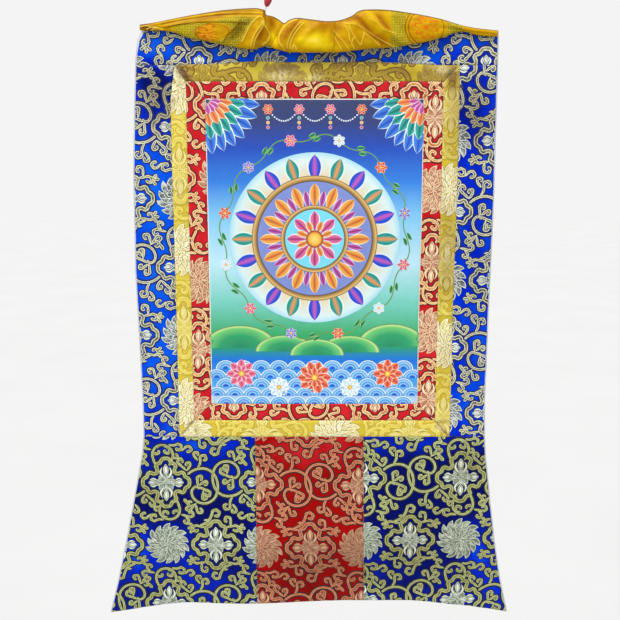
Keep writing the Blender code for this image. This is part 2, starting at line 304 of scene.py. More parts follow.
# The seam over the gold frame rises above its solid's level one.
SEAM_RISE = table(
    Shift, 0,
    (-262, 0), (-240, 1.5), (-190, 2), (-144, 5.5), (-108, 7.2), (-47, 5.5), (29, 5.3), (98, 6),
    (157, 4.2), (191, 2.5), (229, 0.3), (268, 0),
)
# The brocade's left edge is drawn in at the top, so that the lining shows.
DRAWN_IN = table(Shift, 0, (-10, 3), (6, 3), (18, 2.5), (34, 1), (45, 0), (2000, 0))


def drawn_in(edge):
    """The left edge with its upper corner drawn in."""
    inward = eased_rows(DRAWN_IN)
    return lambda drop: edge(drop) + inward(drop)


def wavering(level, left, right):
    """A seam that wavers a little over its level, as a function of the share along it."""
    rise = eased_rows(SEAM_RISE)

    def read(u):
        drop = level
        for _ in range(4):
            drop = level - rise(blend(left(drop), right(drop), u))
        return drop

    return read


def brocade_outlines():
    """The outline of every panel, by its node's name."""
    half = PICTURE_WIDTH / 2
    picture = Frame(-half, half, PICTURE_DROP, PICTURE_DROP + PICTURE_HEIGHT)
    red = grown(picture, RED_SIDE, RED_TOP, RED_BOTTOM)
    gold = grown(red, GOLD_SIDE, GOLD_TOP, GOLD_BOTTOM)
    gold_left, gold_right = both_edges(GOLD_SEAMS)
    ground_left, ground_right = both_edges(GROUND_EDGES)
    seam_left, seam_right = both_edges(SKIRT_SEAMS)
    hem = reading(HEM, "x", "drop")
    low_left, low_right = -SKIRT_SEAMS[1].left, SKIRT_SEAMS[1].right

    def skirt(left, right, start, end):
        return Outline(left, right, steady(gold.bottom), lambda u: hem(blend(start, end, u)))

    outlines = {"picture_panel": Outline(*(steady(limit) for limit in picture))}
    reds = mitred_outlines(picture, red, steady(red.left), steady(red.right))
    golds = mitred_outlines(red, gold, gold_left, gold_right)
    outlines.update({f"red_border_{side}": outline for side, outline in reds.items()})
    outlines.update({f"gold_border_{side}": outline for side, outline in golds.items()})
    top = outlines["gold_border_top"]
    sides = steady(gold.top), steady(gold.bottom)
    outlines.update({
        "gold_border_top": top._replace(top=wavering(gold.top, top.left, top.right)),
        "blue_top_strip": Outline(drawn_in(ground_left), ground_right, steady(0.0),
                                  wavering(gold.top, ground_left, ground_right)),
        "blue_side_left": Outline(ground_left, gold_left, *sides),
        "blue_side_right": Outline(gold_right, ground_right, *sides),
        "skirt_left": skirt(ground_left, seam_left, HEM[0].x, low_left),
        "skirt_centre": skirt(seam_left, seam_right, low_left, low_right),
        "skirt_right": skirt(seam_right, ground_right, low_right, HEM[-1].x),
    })
    return outlines


def place_on(outline, u, v):
    """(x, drop) of the point (u, v) of a panel, seams left open."""
    drop = blend(outline.top(u) + SEAM / 2, outline.bottom(u) - SEAM / 2, v)
    return blend(outline.left(drop) + SEAM / 2, outline.right(drop) - SEAM / 2, u), drop


def share_of(outline, x, drop):
    """(u, v) of the point (x, drop) of a panel."""
    left, right = outline.left(drop) + SEAM / 2, outline.right(drop) - SEAM / 2
    u = (x - left) / (right - left)
    top, bottom = outline.top(u) + SEAM / 2, outline.bottom(u) - SEAM / 2
    return u, (drop - top) / (bottom - top)


# Creases in the cloth: soft ridges, or troughs where the height is below zero. The angle turns
# from level towards straight down.
Crease = namedtuple("Crease", "x drop length width height angle")
CREASES = table(
    Crease, 1,
    # the gold frame's upper left corner, pulled in by its mitre
    (-258, 79, 40, 3, 1.1, 48), (-252, 75, 34, 2.8, -0.9, 28), (-262, 92, 30, 3, 0.9, 74),
    (-253, 108, 36, 3.4, -0.8, 66), (-268, 128, 40, 3, 0.7, 84), (-236, 83, 30, 3.6, 0.7, 12),
    # its upper right corner
    (264, 84, 34, 2.8, -0.9, 118), (259, 100, 36, 3.2, 1, 82), (270, 112, 34, 2.6, -0.6, 98),
    (248, 77, 30, 3.4, 0.6, 160),
    # its lower corners
    (258, 779, 40, 3.2, 0.9, 52), (-260, 781, 36, 3, 0.8, 126),
    # the crinkled left and right gold strips
    (-262, 205, 50, 3.2, 0.6, 78), (-267, 290, 44, 2.8, 0.7, 104), (-259, 348, 34, 2.6, -0.6, 62),
    (-264, 425, 50, 3.2, 0.6, 98), (-261, 520, 40, 2.8, 0.6, 70), (-266, 615, 52, 3, -0.6, 96),
    (-260, 700, 36, 2.8, 0.6, 80), (262, 190, 48, 3.2, 0.6, 84), (266, 300, 40, 2.6, -0.6, 112),
    (260, 410, 50, 3, 0.7, 76), (265, 540, 46, 3, 0.6, 100), (259, 660, 42, 2.8, -0.5, 72),
    # the blue strips beside it
    (-315, 75, 70, 7, -1.2, 60), (-300, 150, 90, 8, 1, 84), (-325, 330, 120, 9, 1, 92),
    (-318, 560, 110, 8, -0.9, 86), (310, 100, 80, 8, 1.2, 106), (318, 290, 110, 9, -1, 88),
    (305, 500, 120, 9, 1, 94), (322, 690, 80, 7, -0.8, 86),
    # where the skirt is sewn on, and its first pull
    (-318, 812, 60, 5, 1.2, 14), (-300, 835, 110, 10, -1.6, 26), (-180, 818, 120, 8, 1.2, 4),
    (20, 820, 160, 9, 1, 176), (220, 822, 130, 9, 1.1, 4), (305, 850, 90, 11, -1.4, 150),
    # long soft folds down the skirt
    (-345, 1000, 300, 18, 2.2, 112), (-290, 1040, 260, 20, -2, 100), (-215, 990, 250, 20, 1.8, 70),
    (-60, 1020, 240, 22, 1.4, 96), (60, 1060, 200, 18, -1.4, 82), (185, 1030, 280, 22, 2, 84),
    (255, 1060, 240, 20, -2.2, 72), (335, 1050, 280, 18, 2.2, 70),
)
# How fast a crease fades towards its ends.
CREASE_FADE = 2.5
WIDE_CREASE = 0.005
# Small puckers that the stitching draws along a seam.
PUCKERS = table(Wave, 2, (31, 0.16, 78, 0.3), (23, 0.13, 9, 1.9), (17, 0.09, 43, 4.1),
                (41, 0.18, 124, 2.2))
SEAM_ROLL = 0.00090
SEAM_ROLL_WIDTH = 0.0015
# Where the cloth has extra rows beside a seam, for its roll.
ROLL_ROWS = np.array([0.0008, 0.0022])


def crease_height(x, drop, narrowest=0.0):
    """How far the creases of at least this width bring the cloth forward here."""
    total = np.zeros(np.shape(x))
    for crease in CREASES:
        if crease.width >= narrowest:
            along, across = turned(x - crease.x, drop - crease.drop, crease.angle)
            reach = smooth(CREASE_FADE * (0.5 - np.abs(along) / crease.length))
            total += crease.height * reach * np.exp(-((across / crease.width) ** 2))
    return total


def stations(length, cell):
    """Shares of a side: even steps, with two close to each end for the seam's roll."""
    close = ROLL_ROWS / length
    even = np.linspace(0.0, 1.0, max(2, round(length / cell)) + 1)[1:-1]
    return np.concatenate([[0.0], close, even, 1.0 - close[::-1], [1.0]])


class Surface:
    """A panel's front as a grid of heights over (u, v), which its threads read as well."""

    def __init__(self, outline, cell, puckered=True):
        self.outline = outline
        ends = np.array([0.0, 1.0])
        self.width = np.ptp(place_on(outline, ends, 0.5)[0])
        self.length = np.ptp(place_on(outline, 0.5, ends)[1])
        self.us, self.vs = stations(self.width, cell), stations(self.length, cell)
        u, v = np.meshgrid(self.us, self.vs)
        self.x, self.drop = place_on(outline, u, v)
        from_side = np.minimum(u, 1.0 - u) * self.width
        from_end = np.minimum(v, 1.0 - v) * self.length
        roll = SEAM_ROLL * np.exp(-((np.minimum(from_side, from_end) / SEAM_ROLL_WIDTH) ** 2))
        front = stand_off(self.x, self.drop) - BROCADE / 2
        self.y = front - crease_height(self.x, self.drop) + roll
        if puckered:
            self.y -= wave_height(PUCKERS, self.x, self.drop)

    def read(self, u, v):
        """The height at (u, v), straight between the grid's points."""
        i = np.clip(np.searchsorted(self.us, u) - 1, 0, len(self.us) - 2)
        j = np.clip(np.searchsorted(self.vs, v) - 1, 0, len(self.vs) - 2)
        s = np.clip((u - self.us[i]) / (self.us[i + 1] - self.us[i]), 0, 1)
        t = np.clip((v - self.vs[j]) / (self.vs[j + 1] - self.vs[j]), 0, 1)
        upper = blend(self.y[j, i], self.y[j, i + 1], s)
        lower = blend(self.y[j + 1, i], self.y[j + 1, i + 1], s)
        return blend(upper, lower, t)

    def cloth(self, name, material, thickness, values=None, pigment=None):
        """The panel's sheet: its front has these heights, and its back lies behind."""
        points = np.stack([self.x, self.y, -self.drop], -1)
        faces = grid_faces(*self.x.shape)
        return thicken(new_piece(name, points, faces, material, values, pigment), thickness)


# ---------------------------------------------------------------------------------------------
# Meshes.


def grid_faces(rows, columns):
    """Quads over a grid of rows by columns points, turned to the front."""
    corner = np.arange((rows - 1) * columns).reshape(rows - 1, columns)[:, :-1].ravel()
    return np.stack([corner, corner + columns, corner + columns + 1, corner + 1], 1)


def placed(name, data, **settings):
    """A new object in the scene, with these settings."""
    obj = bpy.data.objects.new(name, data)
    for key, value in settings.items():
        setattr(obj, key, value)
    bpy.context.scene.collection.objects.link(obj)
    return obj


def set_values(data, values):
    """Writes named values at a mesh's points."""
    for key, numbers in values.items():
        layer = data.attributes.new(key, "FLOAT", "POINT")
        layer.data.foreach_set("value", np.ascontiguousarray(numbers, np.float32).ravel())


def new_piece(name, points, faces, material, values=None, pigment=None):
    """A smooth mesh object from arrays, with named values or a pigment at its points."""
    data = bpy.data.meshes.new(name)
    data.from_pydata(points.reshape(-1, 3).tolist(), [], faces.tolist())
    set_values(data, values or {})
    if pigment is not None:
        layer = data.attributes.new("pigment", "FLOAT_COLOR", "POINT")
        opaque = np.insert(pigment.reshape(-1, 3), 3, 1.0, axis=1)
        layer.data.foreach_set("color", np.ascontiguousarray(opaque, np.float32).ravel())
    data.shade_smooth()
    data.materials.append(material)
    return placed(name, data)


def thicken(obj, thickness):
    """Gives a sheet its back, behind the front that it has."""
    solidify = obj.modifiers.new("Thickness", "SOLIDIFY")
    solidify.thickness = thickness
    solidify.offset = -1.0
    solidify.use_even_offset = False
    return obj


@contextmanager
def editing(data):
    """A mesh as bmesh, which is written back at the end."""
    mesh = bmesh.new()
    mesh.from_mesh(data)
    yield mesh
    mesh.to_mesh(data)
    mesh.free()


def settle(slot, *pieces):
    """Every piece rides on the one body; its slot is not used."""
    for piece in pieces:
        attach(piece, "root")


# Broad painted highlights and painted shade on a cloth, where its sheen catches its folds or not.
# The angle turns from level towards straight down, and the tone is added to the cloth's own.
Spot = namedtuple("Spot", "x drop long wide angle tone")


def spot_tone(spots, x, drop):
    total = np.zeros(np.shape(x))
    for spot in spots:
        along, across = turned(x - spot.x, drop - spot.drop, spot.angle)
        total += spot.tone * np.exp(-((along / spot.long) ** 2) - (across / spot.wide) ** 2)
    return total


# ---------------------------------------------------------------------------------------------
# Materials.

# A wave texture's bands lie this far apart at a scale of 1.
BAND_PITCH = 0.3142
BUMP_STRENGTH = 0.6
SHEEN_ROUGHNESS = 0.45


class Signal:
    """A node's output. Each sum, difference or product adds a math node."""

    def __init__(self, nodes, socket):
        self.nodes, self.socket = nodes, socket

    def __add__(self, other):
        return self.nodes.math("ADD", self, other)

    def __radd__(self, other):
        return self.nodes.math("ADD", other, self)

    def __sub__(self, other):
        return self.nodes.math("SUBTRACT", self, other)

    def __rsub__(self, other):
        return self.nodes.math("SUBTRACT", other, self)

    def __mul__(self, other):
        return self.nodes.math("MULTIPLY", self, other)


class Nodes:
    """Short calls that build the nodes of one material, or of the world."""

    def __init__(self, name, owner=None):
        self.owner = owner or bpy.data.materials.new(name)
        self.owner.use_nodes = True
        self.tree = self.owner.node_tree

    def new(self, kind, **settings):
        node = self.tree.nodes.new(kind)
        for key, value in settings.items():
            setattr(node, key, value)
        return node

    def out(self, node, name):
        return Signal(self, node.outputs[name])

    def join(self, source, target):
        """Links a signal to an input, or sets it. Three numbers are a screen colour."""
        if isinstance(source, Signal):
            self.tree.links.new(source.socket, target)
        elif isinstance(source, tuple) and len(source) == 3:
            target.default_value = (*paint(*source), 1.0)
        else:
            target.default_value = source

    def math(self, operation, first, second=0.0, clamp=False):
        node = self.new("ShaderNodeMath", operation=operation, use_clamp=clamp)
        self.join(first, node.inputs[0])
        self.join(second, node.inputs[1])
        return self.out(node, 0)

    def mix(self, share, first, second, how="MIX"):
        node = self.new("ShaderNodeMix", data_type="RGBA", blend_type=how)
        for source, key in ((share, "Factor"), (first, 6), (second, 7)):
            self.join(source, node.inputs[key])
        return self.out(node, 2)

    def value(self, name, output="Fac"):
        return self.out(self.new("ShaderNodeAttribute", attribute_name=name), output)

    def place(self, kind="Object"):
        return self.out(self.new("ShaderNodeTexCoord"), kind)

    def step(self, value, start, end):
        """0 below start, 1 above end, and smooth between."""
        node = self.new("ShaderNodeMapRange", interpolation_type="SMOOTHSTEP")
        self.join(value, node.inputs["Value"])
        node.inputs["From Min"].default_value = start
        node.inputs["From Max"].default_value = end
        return self.out(node, "Result")

    def scaled(self, scale=(1.0, 1.0, 1.0), degrees=0.0):
        """The object's own coordinates, stretched and turned about y."""
        node = self.new("ShaderNodeMapping")
        self.join(self.place(), node.inputs["Vector"])
        node.inputs["Scale"].default_value = scale
        node.inputs["Rotation"].default_value = (0.0, math.radians(degrees), 0.0)
        return self.out(node, "Vector")

    def clouds(self, vector, scale, detail, output="Fac"):
        node = self.new("ShaderNodeTexNoise")
        self.join(vector, node.inputs["Vector"])
        node.inputs["Scale"].default_value = scale
        node.inputs["Detail"].default_value = detail
        return self.out(node, output)

    def noise(self, scale, detail=3.0, stretch=(1.0, 1.0, 1.0)):
        return self.clouds(self.scaled(stretch), scale, detail)

    def lines(self, pitch, degrees=0.0, wander=0.0):
        """Soft parallel lines a pitch apart, across the cloth's length unless turned."""
        node = self.new("ShaderNodeTexWave", wave_type="BANDS", bands_direction="X")
        self.join(self.scaled(degrees=degrees), node.inputs["Vector"])
        node.inputs["Scale"].default_value = BAND_PITCH / pitch
        node.inputs["Distortion"].default_value = wander
        return self.out(node, "Fac")

    def ramp(self, value, stops, shown=True):
        """Colours at places along a value, as they show on a screen or as linear light."""
        node = self.new("ShaderNodeValToRGB")
        self.join(value, node.inputs["Fac"])
        elements = node.color_ramp.elements
        while len(elements) < len(stops):
            elements.new(1.0)
        for element, (place, colour) in zip(elements, stops.items()):
            element.position = place
            element.color = (*(paint(*colour) if shown else colour), 1.0)
        return self.out(node, "Color")

    def finish(self, colour, roughness, relief, depth, specular=0.2, sheen=0.0, tint=None):
        """Joins the colour, roughness and bump to the shader, and sets its fixed values."""
        inputs = self.tree.nodes["Principled BSDF"].inputs
        self.join(colour, inputs["Base Color"])
        self.join(roughness, inputs["Roughness"])
        bump = self.new("ShaderNodeBump")
        bump.inputs["Distance"].default_value = depth
        bump.inputs["Strength"].default_value = BUMP_STRENGTH
        self.join(relief, bump.inputs["Height"])
        self.join(self.out(bump, "Normal"), inputs["Normal"])
        inputs["Specular IOR Level"].default_value = specular
        inputs["Sheen Weight"].default_value = sheen
        inputs["Sheen Roughness"].default_value = SHEEN_ROUGHNESS
        if tint:
            inputs["Specular Tint"].default_value = (*tint, 1.0)
            inputs["Sheen Tint"].default_value = (*tint, 1.0)
        return self.owner


# Each satin: its colour under painted shade, its middle colour, its colour under a painted
# highlight, and the tint of its gloss.
Satin = namedtuple("Satin", "dark middle bright tint")
SATINS = {
    "blue": Satin((4, 0, 84), (0, 34, 194), (6, 104, 252), (0.05, 0.22, 1.0)),
    "red": Satin((104, 0, 0), (162, 0, 2), (224, 42, 54), (1.0, 0.14, 0.12)),
    "gold": Satin((120, 90, 14), (206, 182, 46), (242, 226, 106), (1.0, 0.90, 0.45)),
}
# Painted shade and highlight of crushed foil, from its dark creases to its bright faces.
FOIL = {0.35: (104, 84, 20), 0.42: (212, 194, 92), 0.49: (244, 236, 172), 0.57: (254, 253, 232),
        0.63: (226, 210, 116), 0.70: (124, 102, 30)}


def satin_material(name, satin, foil):
    """A warp-faced satin ground: three tones from painted shade to painted highlight, a fine twill
    and a slubby weft.
    """
    n = Nodes(name)
    drift = n.noise(26.0, 3.0, (1.0, 1.0, 0.45))
    fine = n.noise(170.0, 2.0, (0.35, 1.0, 1.0))
    tone = n.value("painted_light") + (drift - 0.5) * 0.55
    tone = n.math("ADD", tone, (fine - 0.5) * 0.16, clamp=True)
    colour = n.ramp(tone, {0.0: satin.dark, 0.5: satin.middle, 1.0: satin.bright})
    relief = n.lines(0.0009, 63, 0.6) * 0.6 + n.lines(0.0006, 90, 0.8) * 0.4
    if foil:
        colour, relief = crushed(n, colour, relief)
    return n.finish(colour, 0.40 + drift * 0.16, relief, 0.00010, specular=0.32, tint=satin.tint)


def crushed(n, colour, relief):
    """Adds the painted highlights and shade of crushed foil's facets, where the cloth's foil value
    is high, and a few painted glints of it.
    """
    facet = crumple(n)
    pale = n.ramp(facet, FOIL)
    glint_fleck = n.step(n.noise(240.0, 3.0, (1.0, 1.0, 0.5)), 0.60, 0.70)
    colour = n.mix(glint_fleck * 0.12, colour, pale)
    colour = n.mix(n.value("foil") * 0.92, colour, pale)
    return colour, relief + facet * (n.value("foil") * 5.0)


def crumple(n):
    """Creased foil: long uneven faces that catch the light by turns."""
    moved = n.new("ShaderNodeVectorMath", operation="MULTIPLY_ADD")
    n.join(n.clouds(n.scaled(), 60.0, 2.0, "Color"), moved.inputs[0])
    moved.inputs[1].default_value = (0.020, 0.020, 0.020)
    n.join(n.scaled((1.0, 1.0, 0.42), math.degrees(0.35)), moved.inputs[2])
    return n.clouds(n.out(moved, 0), 190.0, 3.0)


Thread = namedtuple("Thread", "outline rim core silver_rim silver white line")
THREADS = {
    "olive": Thread((0, 0, 16), (190, 198, 142), (116, 114, 34), (208, 218, 196),
                    (106, 124, 102), (246, 250, 244), (10, 16, 30)),
    "silver": Thread((0, 4, 92), (228, 230, 192), (84, 80, 46), (232, 240, 228),
                     (112, 122, 118), (252, 252, 250), (18, 22, 46)),
    "salmon": Thread((60, 0, 0), (216, 142, 102), (146, 66, 36), (206, 152, 114),
                     (150, 98, 72), (228, 196, 162), (110, 42, 30)),
    "cream": Thread((104, 0, 6), (253, 222, 160), (186, 96, 50), (246, 212, 166),
                    (176, 108, 78), (252, 236, 204), (130, 44, 32)),
    "dark_gold": Thread((138, 106, 14), (190, 160, 40), (166, 134, 26), (190, 164, 62),
                        (168, 138, 42), (216, 196, 86), (148, 116, 26)),
    "foil": Thread((198, 172, 50), (236, 220, 108), (218, 196, 66), (254, 250, 212),
                   (222, 206, 126), (255, 254, 240), (140, 118, 36)),
}

# The dark line around every thread, partly its woven outline and partly painted shadow beside the
# raised thread, and the pale rim inside it. A flower's own line is finer.
OUTLINE_MM = 2.4
RIM_MM = 1.40
FLOWER_LINE_MM = 0.95
HALO_MM = 3.3
BUD_LINE_MM = 2.3
ROUGH_MM = 1.1
# The share of the cross flowers' own colours that is lost in the gold brocade.
FAINT_CROSS = 0.80
# What a ribbon is woven in.
VINE, ROSE, CROSS, WHITE_SILK = 0, 1, 2, 3


def between(start, end, share):
    return tuple(blend(a, b, share) for a, b in zip(start, end))


def thread_material(name, thread, foil, patchy_shade):
    """Metallic brocade thread: a dark outline that is partly painted shadow, a pale rim and a
    darker core, laid line by line, with painted glints and patches of painted shade.
    """
    n = Nodes(name)
    inside = n.value("edge") + (n.noise(430.0, 2.0) - 0.5) * ROUGH_MM
    kind = n.value("kind")
    broad = n.noise(120.0, 4.0)
    glint = n.step(n.noise(420.0, 3.0, (0.5, 1.0, 1.3)), 0.52, 0.68)
    shadow = n.step(n.noise(300.0, 3.0, (1.0, 1.0, 0.6)), 0.56, 0.72)
    core = n.mix(n.step(broad, 0.38, 0.64), thread.core, between(thread.core, thread.rim, 0.55))
    # Painted highlight: silver petals whiten in broad patches and towards their raised side.
    facing = n.math("ADD", n.step(broad, 0.40, 0.76), n.value("across") * 0.55, clamp=True)
    silver = n.mix(facing, thread.silver, between(thread.silver, thread.white, 0.75))
    is_silver, is_white = n.step(kind, 0.4, 0.6), n.step(kind, 2.4, 2.6)
    if foil:
        faint = 1.0 - n.step(kind, 1.4, 1.6) * FAINT_CROSS
        is_silver, is_white = is_silver * faint, is_white * faint
    core = n.mix(is_white, n.mix(is_silver, core, silver), thread.white)
    rim = n.mix(is_silver, thread.rim, thread.silver_rim)
    line = n.mix(is_silver, thread.outline, thread.line)
    # Painted shade: the silver thread's core falls dark in broad patches.
    if patchy_shade:
        core = n.mix(n.step(n.noise(24.0, 2.0), 0.44, 0.60) * 0.62, core, line)
    core = n.mix(glint * 0.6, core, rim)
    core = n.mix(shadow * 0.35, core, line)
    core_from = OUTLINE_MM + RIM_MM
    colour = n.mix(n.step(inside, core_from - 0.2, core_from + 0.35), rim, core)
    # The dark line round the thread: partly its woven outline, partly painted shadow.
    colour = n.mix(n.step(inside, OUTLINE_MM - 0.15, OUTLINE_MM + 0.15), line, colour)
    # Painted shade, where the thread's painted light value is low.
    shades = {0.0: (0.30, 0.21, 0.10), 0.44: (1.0, 1.0, 1.0)}
    shade = n.ramp(n.value("painted_light") + 0.5, shades, shown=False)
    colour = n.mix(1.0, colour, shade, "MULTIPLY")
    relief = n.lines(0.0008, 90, 1.4) * 0.8 + glint * 0.4
    if foil:
        colour, relief = crushed(n, colour, relief)
    return n.finish(colour, 0.46 - glint * 0.16, relief, 0.00012, specular=0.3)


def painting_material():
    """Mineral colours on a primed canvas: matt, a little uneven, over a fine weave."""
    n = Nodes("painted_canvas")
    shade = 0.93 + n.noise(60.0, 4.0) * 0.14 + (n.noise(900.0, 2.0) - 0.5) * 0.06
    tint = n.new("ShaderNodeCombineColor")
    for socket in tint.inputs:
        n.join(shade, socket)
    colour = n.mix(1.0, n.value("pigment", "Color"), n.out(tint, "Color"), "MULTIPLY")
    return n.finish(colour, 0.55, n.lines(0.0008) + n.lines(0.0008, 90), 0.00005, specular=0.18)


def lining_material():
    """Plain pale cotton, with painted blue-grey shade along its rim."""
    n = Nodes("lining_cotton")
    tone = n.noise(14.0, 4.0) * 0.6 + n.noise(420.0, 2.0, (0.2, 1.0, 1.0)) * 0.4
    colour = n.ramp(tone, {0.2: (222, 218, 212), 0.8: (246, 244, 240)})
    colour = n.mix(n.value("rim"), colour, (176, 182, 206))
    weave = n.lines(0.0009, 0, 0.5) * n.lines(0.0009, 90, 0.5)
    return n.finish(colour, 0.85, weave, 0.00012, specular=0.1, sheen=0.1)


# The cord is paler below this height, where a single tie joins it to the veil.
TIE_TOP = 0.0412
TIE_FADE = 0.002


def cord_material():
    """Twisted crimson silk, with painted shade between its strands and painted highlights on them.
    """
    n = Nodes("crimson_cord")
    height = n.new("ShaderNodeSeparateXYZ")
    n.join(n.place(), height.inputs[0])
    tie = 1.0 - n.step(n.out(height, "Z"), TIE_TOP - TIE_FADE, TIE_TOP)
    strand = n.lines(0.0022, 38, 0.4)
    # Painted shade in the twist's grooves and painted highlights on the strands.
    colour = n.ramp(strand, {0.1: (120, 4, 18), 0.5: (200, 18, 44), 1.0: (236, 84, 100)})
    colour = n.mix(n.noise(900.0, 2.0) * 0.25, colour, (120, 6, 22))
    colour = n.mix(tie, colour, (236, 206, 206))
    return n.finish(colour, 0.38, strand, 0.0004, specular=0.5, sheen=0.2, tint=(1.0, 0.4, 0.4))


# ---------------------------------------------------------------------------------------------
# The brocade's charted repeat, in millimetres. u runs across the cloth and v down its length.

REPEAT_MM = (204.5, 272.6)
Curl = namedtuple("Curl", "u v eye_u eye_v size side bow", defaults=(0.0,))
Leaf = namedtuple("Leaf", "u v tip_u tip_v half")
Bend = namedtuple("Bend", "u v heading arcs")
Lay = namedtuple("Lay", "x drop weft warp end", defaults=(2.0,))
Ribbon = namedtuple("Ribbon", "points half level kind closed tilt", defaults=(False, 0.0))

# Around the first quatrefoil, measured from its middle. Each goes in twice, the second time
# turned half way round that middle. A curl runs from its root and winds in around its eye.
CURLS = table(
    Curl, 7,
    # the heart inside the ring
    (7, 81, -2.5, 68, 7.5, 1), (8, 81, 18, 67, 7.5, -1),
    # vines beside the ring
    (-7, 82, -27, 75, 8.5, 1, 2.5), (-34, 68, -48, 71, 8, 1), (-12, 64, -21, 57, 5.5, -1),
    (29, 71, 50, 69, 7, -1), (38, 74, 40, 86, 6, 1),
    # at the foot of the first circle
    (63, 45, 50, 46, 6.5, 1), (61, 47, 70, 61, 6.5, -1), (60, 46, 45, 57, 5.6, 1),
    # under the second circle
    (-66, 31, -79, 52, 8, 1, 3), (-67, 47, -64, 61, 6, 1), (-44, 25, -46, 39, 5.4, -1),
    (-44, 25, -31, 46, 6.6, 1),
    # the sprig inside the first circle
    (66, 9, 71, -9, 6, 1), (68, 7, 82, 2, 4.6, 1), (66, 9, 86, 25, 6.5, 1),
    (78, 16, 80, 33, 4.6, -1),
)
LEAVES = (Leaf(47, 50, 36, 36, 2.6),)
# Above the second quatrefoil, measured from its middle.
UPPER_CURLS = table(
    Curl, 7,
    (-19, -38, -42, -34, 8, -1), (-34, -42, 1, -68, 9.5, 1, 7), (-25, -54, -19, -50, 5, 1),
    (31, -40, 24, -55, 7.5, -1), (21, -39, 42, -35, 7.5, 1),
)
UPPER_LEAVES = table(
    Leaf, 5,
    (-46, -36, -55, -47, 2.4), (-47, -36, -60, -36, 2.4), (-46, -36, -55, -25, 2.4),
    (48, -36, 58, -46, 2.4), (49, -36, 63, -37, 2.4), (48, -36, 56, -25, 2.4),
)
# Long bends: a start, a heading in degrees, and arcs of (length, turn).
CIRCLE = Bend(45, -17, -47, ((34, 47), (35, 66), (40, 44), (45, 92), (27, 65), (14, 60), (13, 110)))
RING = Bend(16, 32, 52, ((28, 30), (28, 78), (28, 75), (24, 62), (14, -5)))
BEND_STEP = 2.6
BEND_TURN = 18
# One lobe's shoulder of the quatrefoil, from its cap to the inner corner on the diagonal.
LOBE = ((50.5, 0), (49.5, 6.5), (45, 10), (41, 12.5), (39, 18), (34.5, 21.5), (27, 18.5), (20, 20))
CURL_HALF = 2.05
CURL_GROWS = 1.55
LEAF_GROWS = 1.35
# The least share of its width that a ribbon keeps at its ends.
BLUNT_END = 0.02
# A curl winds on by this angle and loses this share of its size, fastest at first.
CURL_TURN = math.radians(285)
CURL_CLOSES = 0.62
CURL_EASE = 0.9
STEM_STEP = 5.0
BOWED_STEP = 3.2
# A vine's width swells and narrows along it, as its cloud-like lobes do.
LOBE_MM = 8.5
LOBE_SHARE = 0.17
RING_HALF = 2.30
FRAME_HALF = 3.6
FRAME_STRETCH = (0.965, 1.035)
# A petal's half width at both ends.
PETAL_END_MM = 0.2
# The chrysanthemum's rings of petals.
Petals = namedtuple("Petals", "count start end half swirl")
ROSETTE = table(
    Petals, 5,
    (14, 18, 47, 6.6, 20), (14, 12, 39, 5.4, 13), (12, 7, 29.5, 4.6, -12), (9, 3, 20.5, 3.8, 15),
    (6, 0, 12, 3, -14),
)
# Height across a thread, from its outline to its crown. A petal of the chrysanthemum rises from
# one side to the other and laps over the next.
THREAD_ACROSS = np.array([-1.0, -0.62, 0.0, 0.62, 1.0])
THREAD_RISE_MM = np.array([0.11, 0.24, 0.31, 0.24, 0.11])
TILTED_RISE_MM = np.array([0.08, 0.13, 0.18, 0.24, 0.26])
# Threads narrower than this lie flatter.
FULL_HALF_MM = 2.5
# The step between crossing threads, and the hair between those of one level.
LEVEL_MM = 0.03
HAIR_MM = 0.0015
HAIRS = 17


def along_bend(bend):
    """Points along a run of arcs."""
    u, v, angle = bend.u, bend.v, math.radians(bend.heading)
    points = [(u, v)]
    for length, turn in bend.arcs:
        count = max(2, round(max(length / BEND_STEP, abs(turn) / BEND_TURN)))
        for _ in range(count):
            angle += math.radians(turn) / count / 2
            u += length / count * math.cos(angle)
            v += length / count * math.sin(angle)
            angle += math.radians(turn) / count / 2
            points.append((u, v))
    return np.array(points)


def along_curl(curl):
    """Straight from the root to a circle around the eye, then round it and winding in."""
    root = np.array([curl.u, curl.v], float)
    eye = np.array([curl.eye_u, curl.eye_v], float)
    away = root - eye
    distance = max(np.linalg.norm(away), curl.size * 1.02)
    first = math.atan2(away[1], away[0]) + curl.side * math.acos(curl.size / distance)
    share = np.linspace(0, 1, 20)
    radius = curl.size * (1 - CURL_CLOSES * share**CURL_EASE)
    angle = first + curl.side * CURL_TURN * share
    around = eye + radius[:, None] * np.stack([np.cos(angle), np.sin(angle)], 1)
    reach = around[0] - root
    count = max(1, round(np.linalg.norm(reach) / (BOWED_STEP if curl.bow else STEM_STEP)))
    share = np.linspace(0, 1, count, endpoint=False)[:, None]
    sideways = np.array([-reach[1], reach[0]]) / np.linalg.norm(reach)
    stem = root + reach * share + curl.bow * np.sin(math.pi * share) * sideways
    return np.vstack([stem, around])


def closed_curve(points, between):
    """A smooth closed line through the points."""
    rows = np.array(points, float)
    line = []
    for i in range(len(rows)):
        a, b, c, d = rows[i - 1], rows[i], rows[(i + 1) % len(rows)], rows[(i + 2) % len(rows)]
        for t in np.arange(between) / between:
            cubic = (3 * b - a - 3 * c + d) * t**3 + (2 * a - 5 * b + 4 * c - d) * t**2
            line.append(0.5 * (cubic + (c - a) * t + 2 * b))
    return np.array(line)


def quatrefoil():
    quarter = list(LOBE) + [(b, a) for a, b in LOBE[-2:0:-1]]
    turns = ((1, 0), (0, 1), (-1, 0), (0, -1))
    line = [(a * c - b * s, a * s + b * c) for c, s in turns for a, b in quarter]
    return closed_curve(line, 2) * FRAME_STRETCH


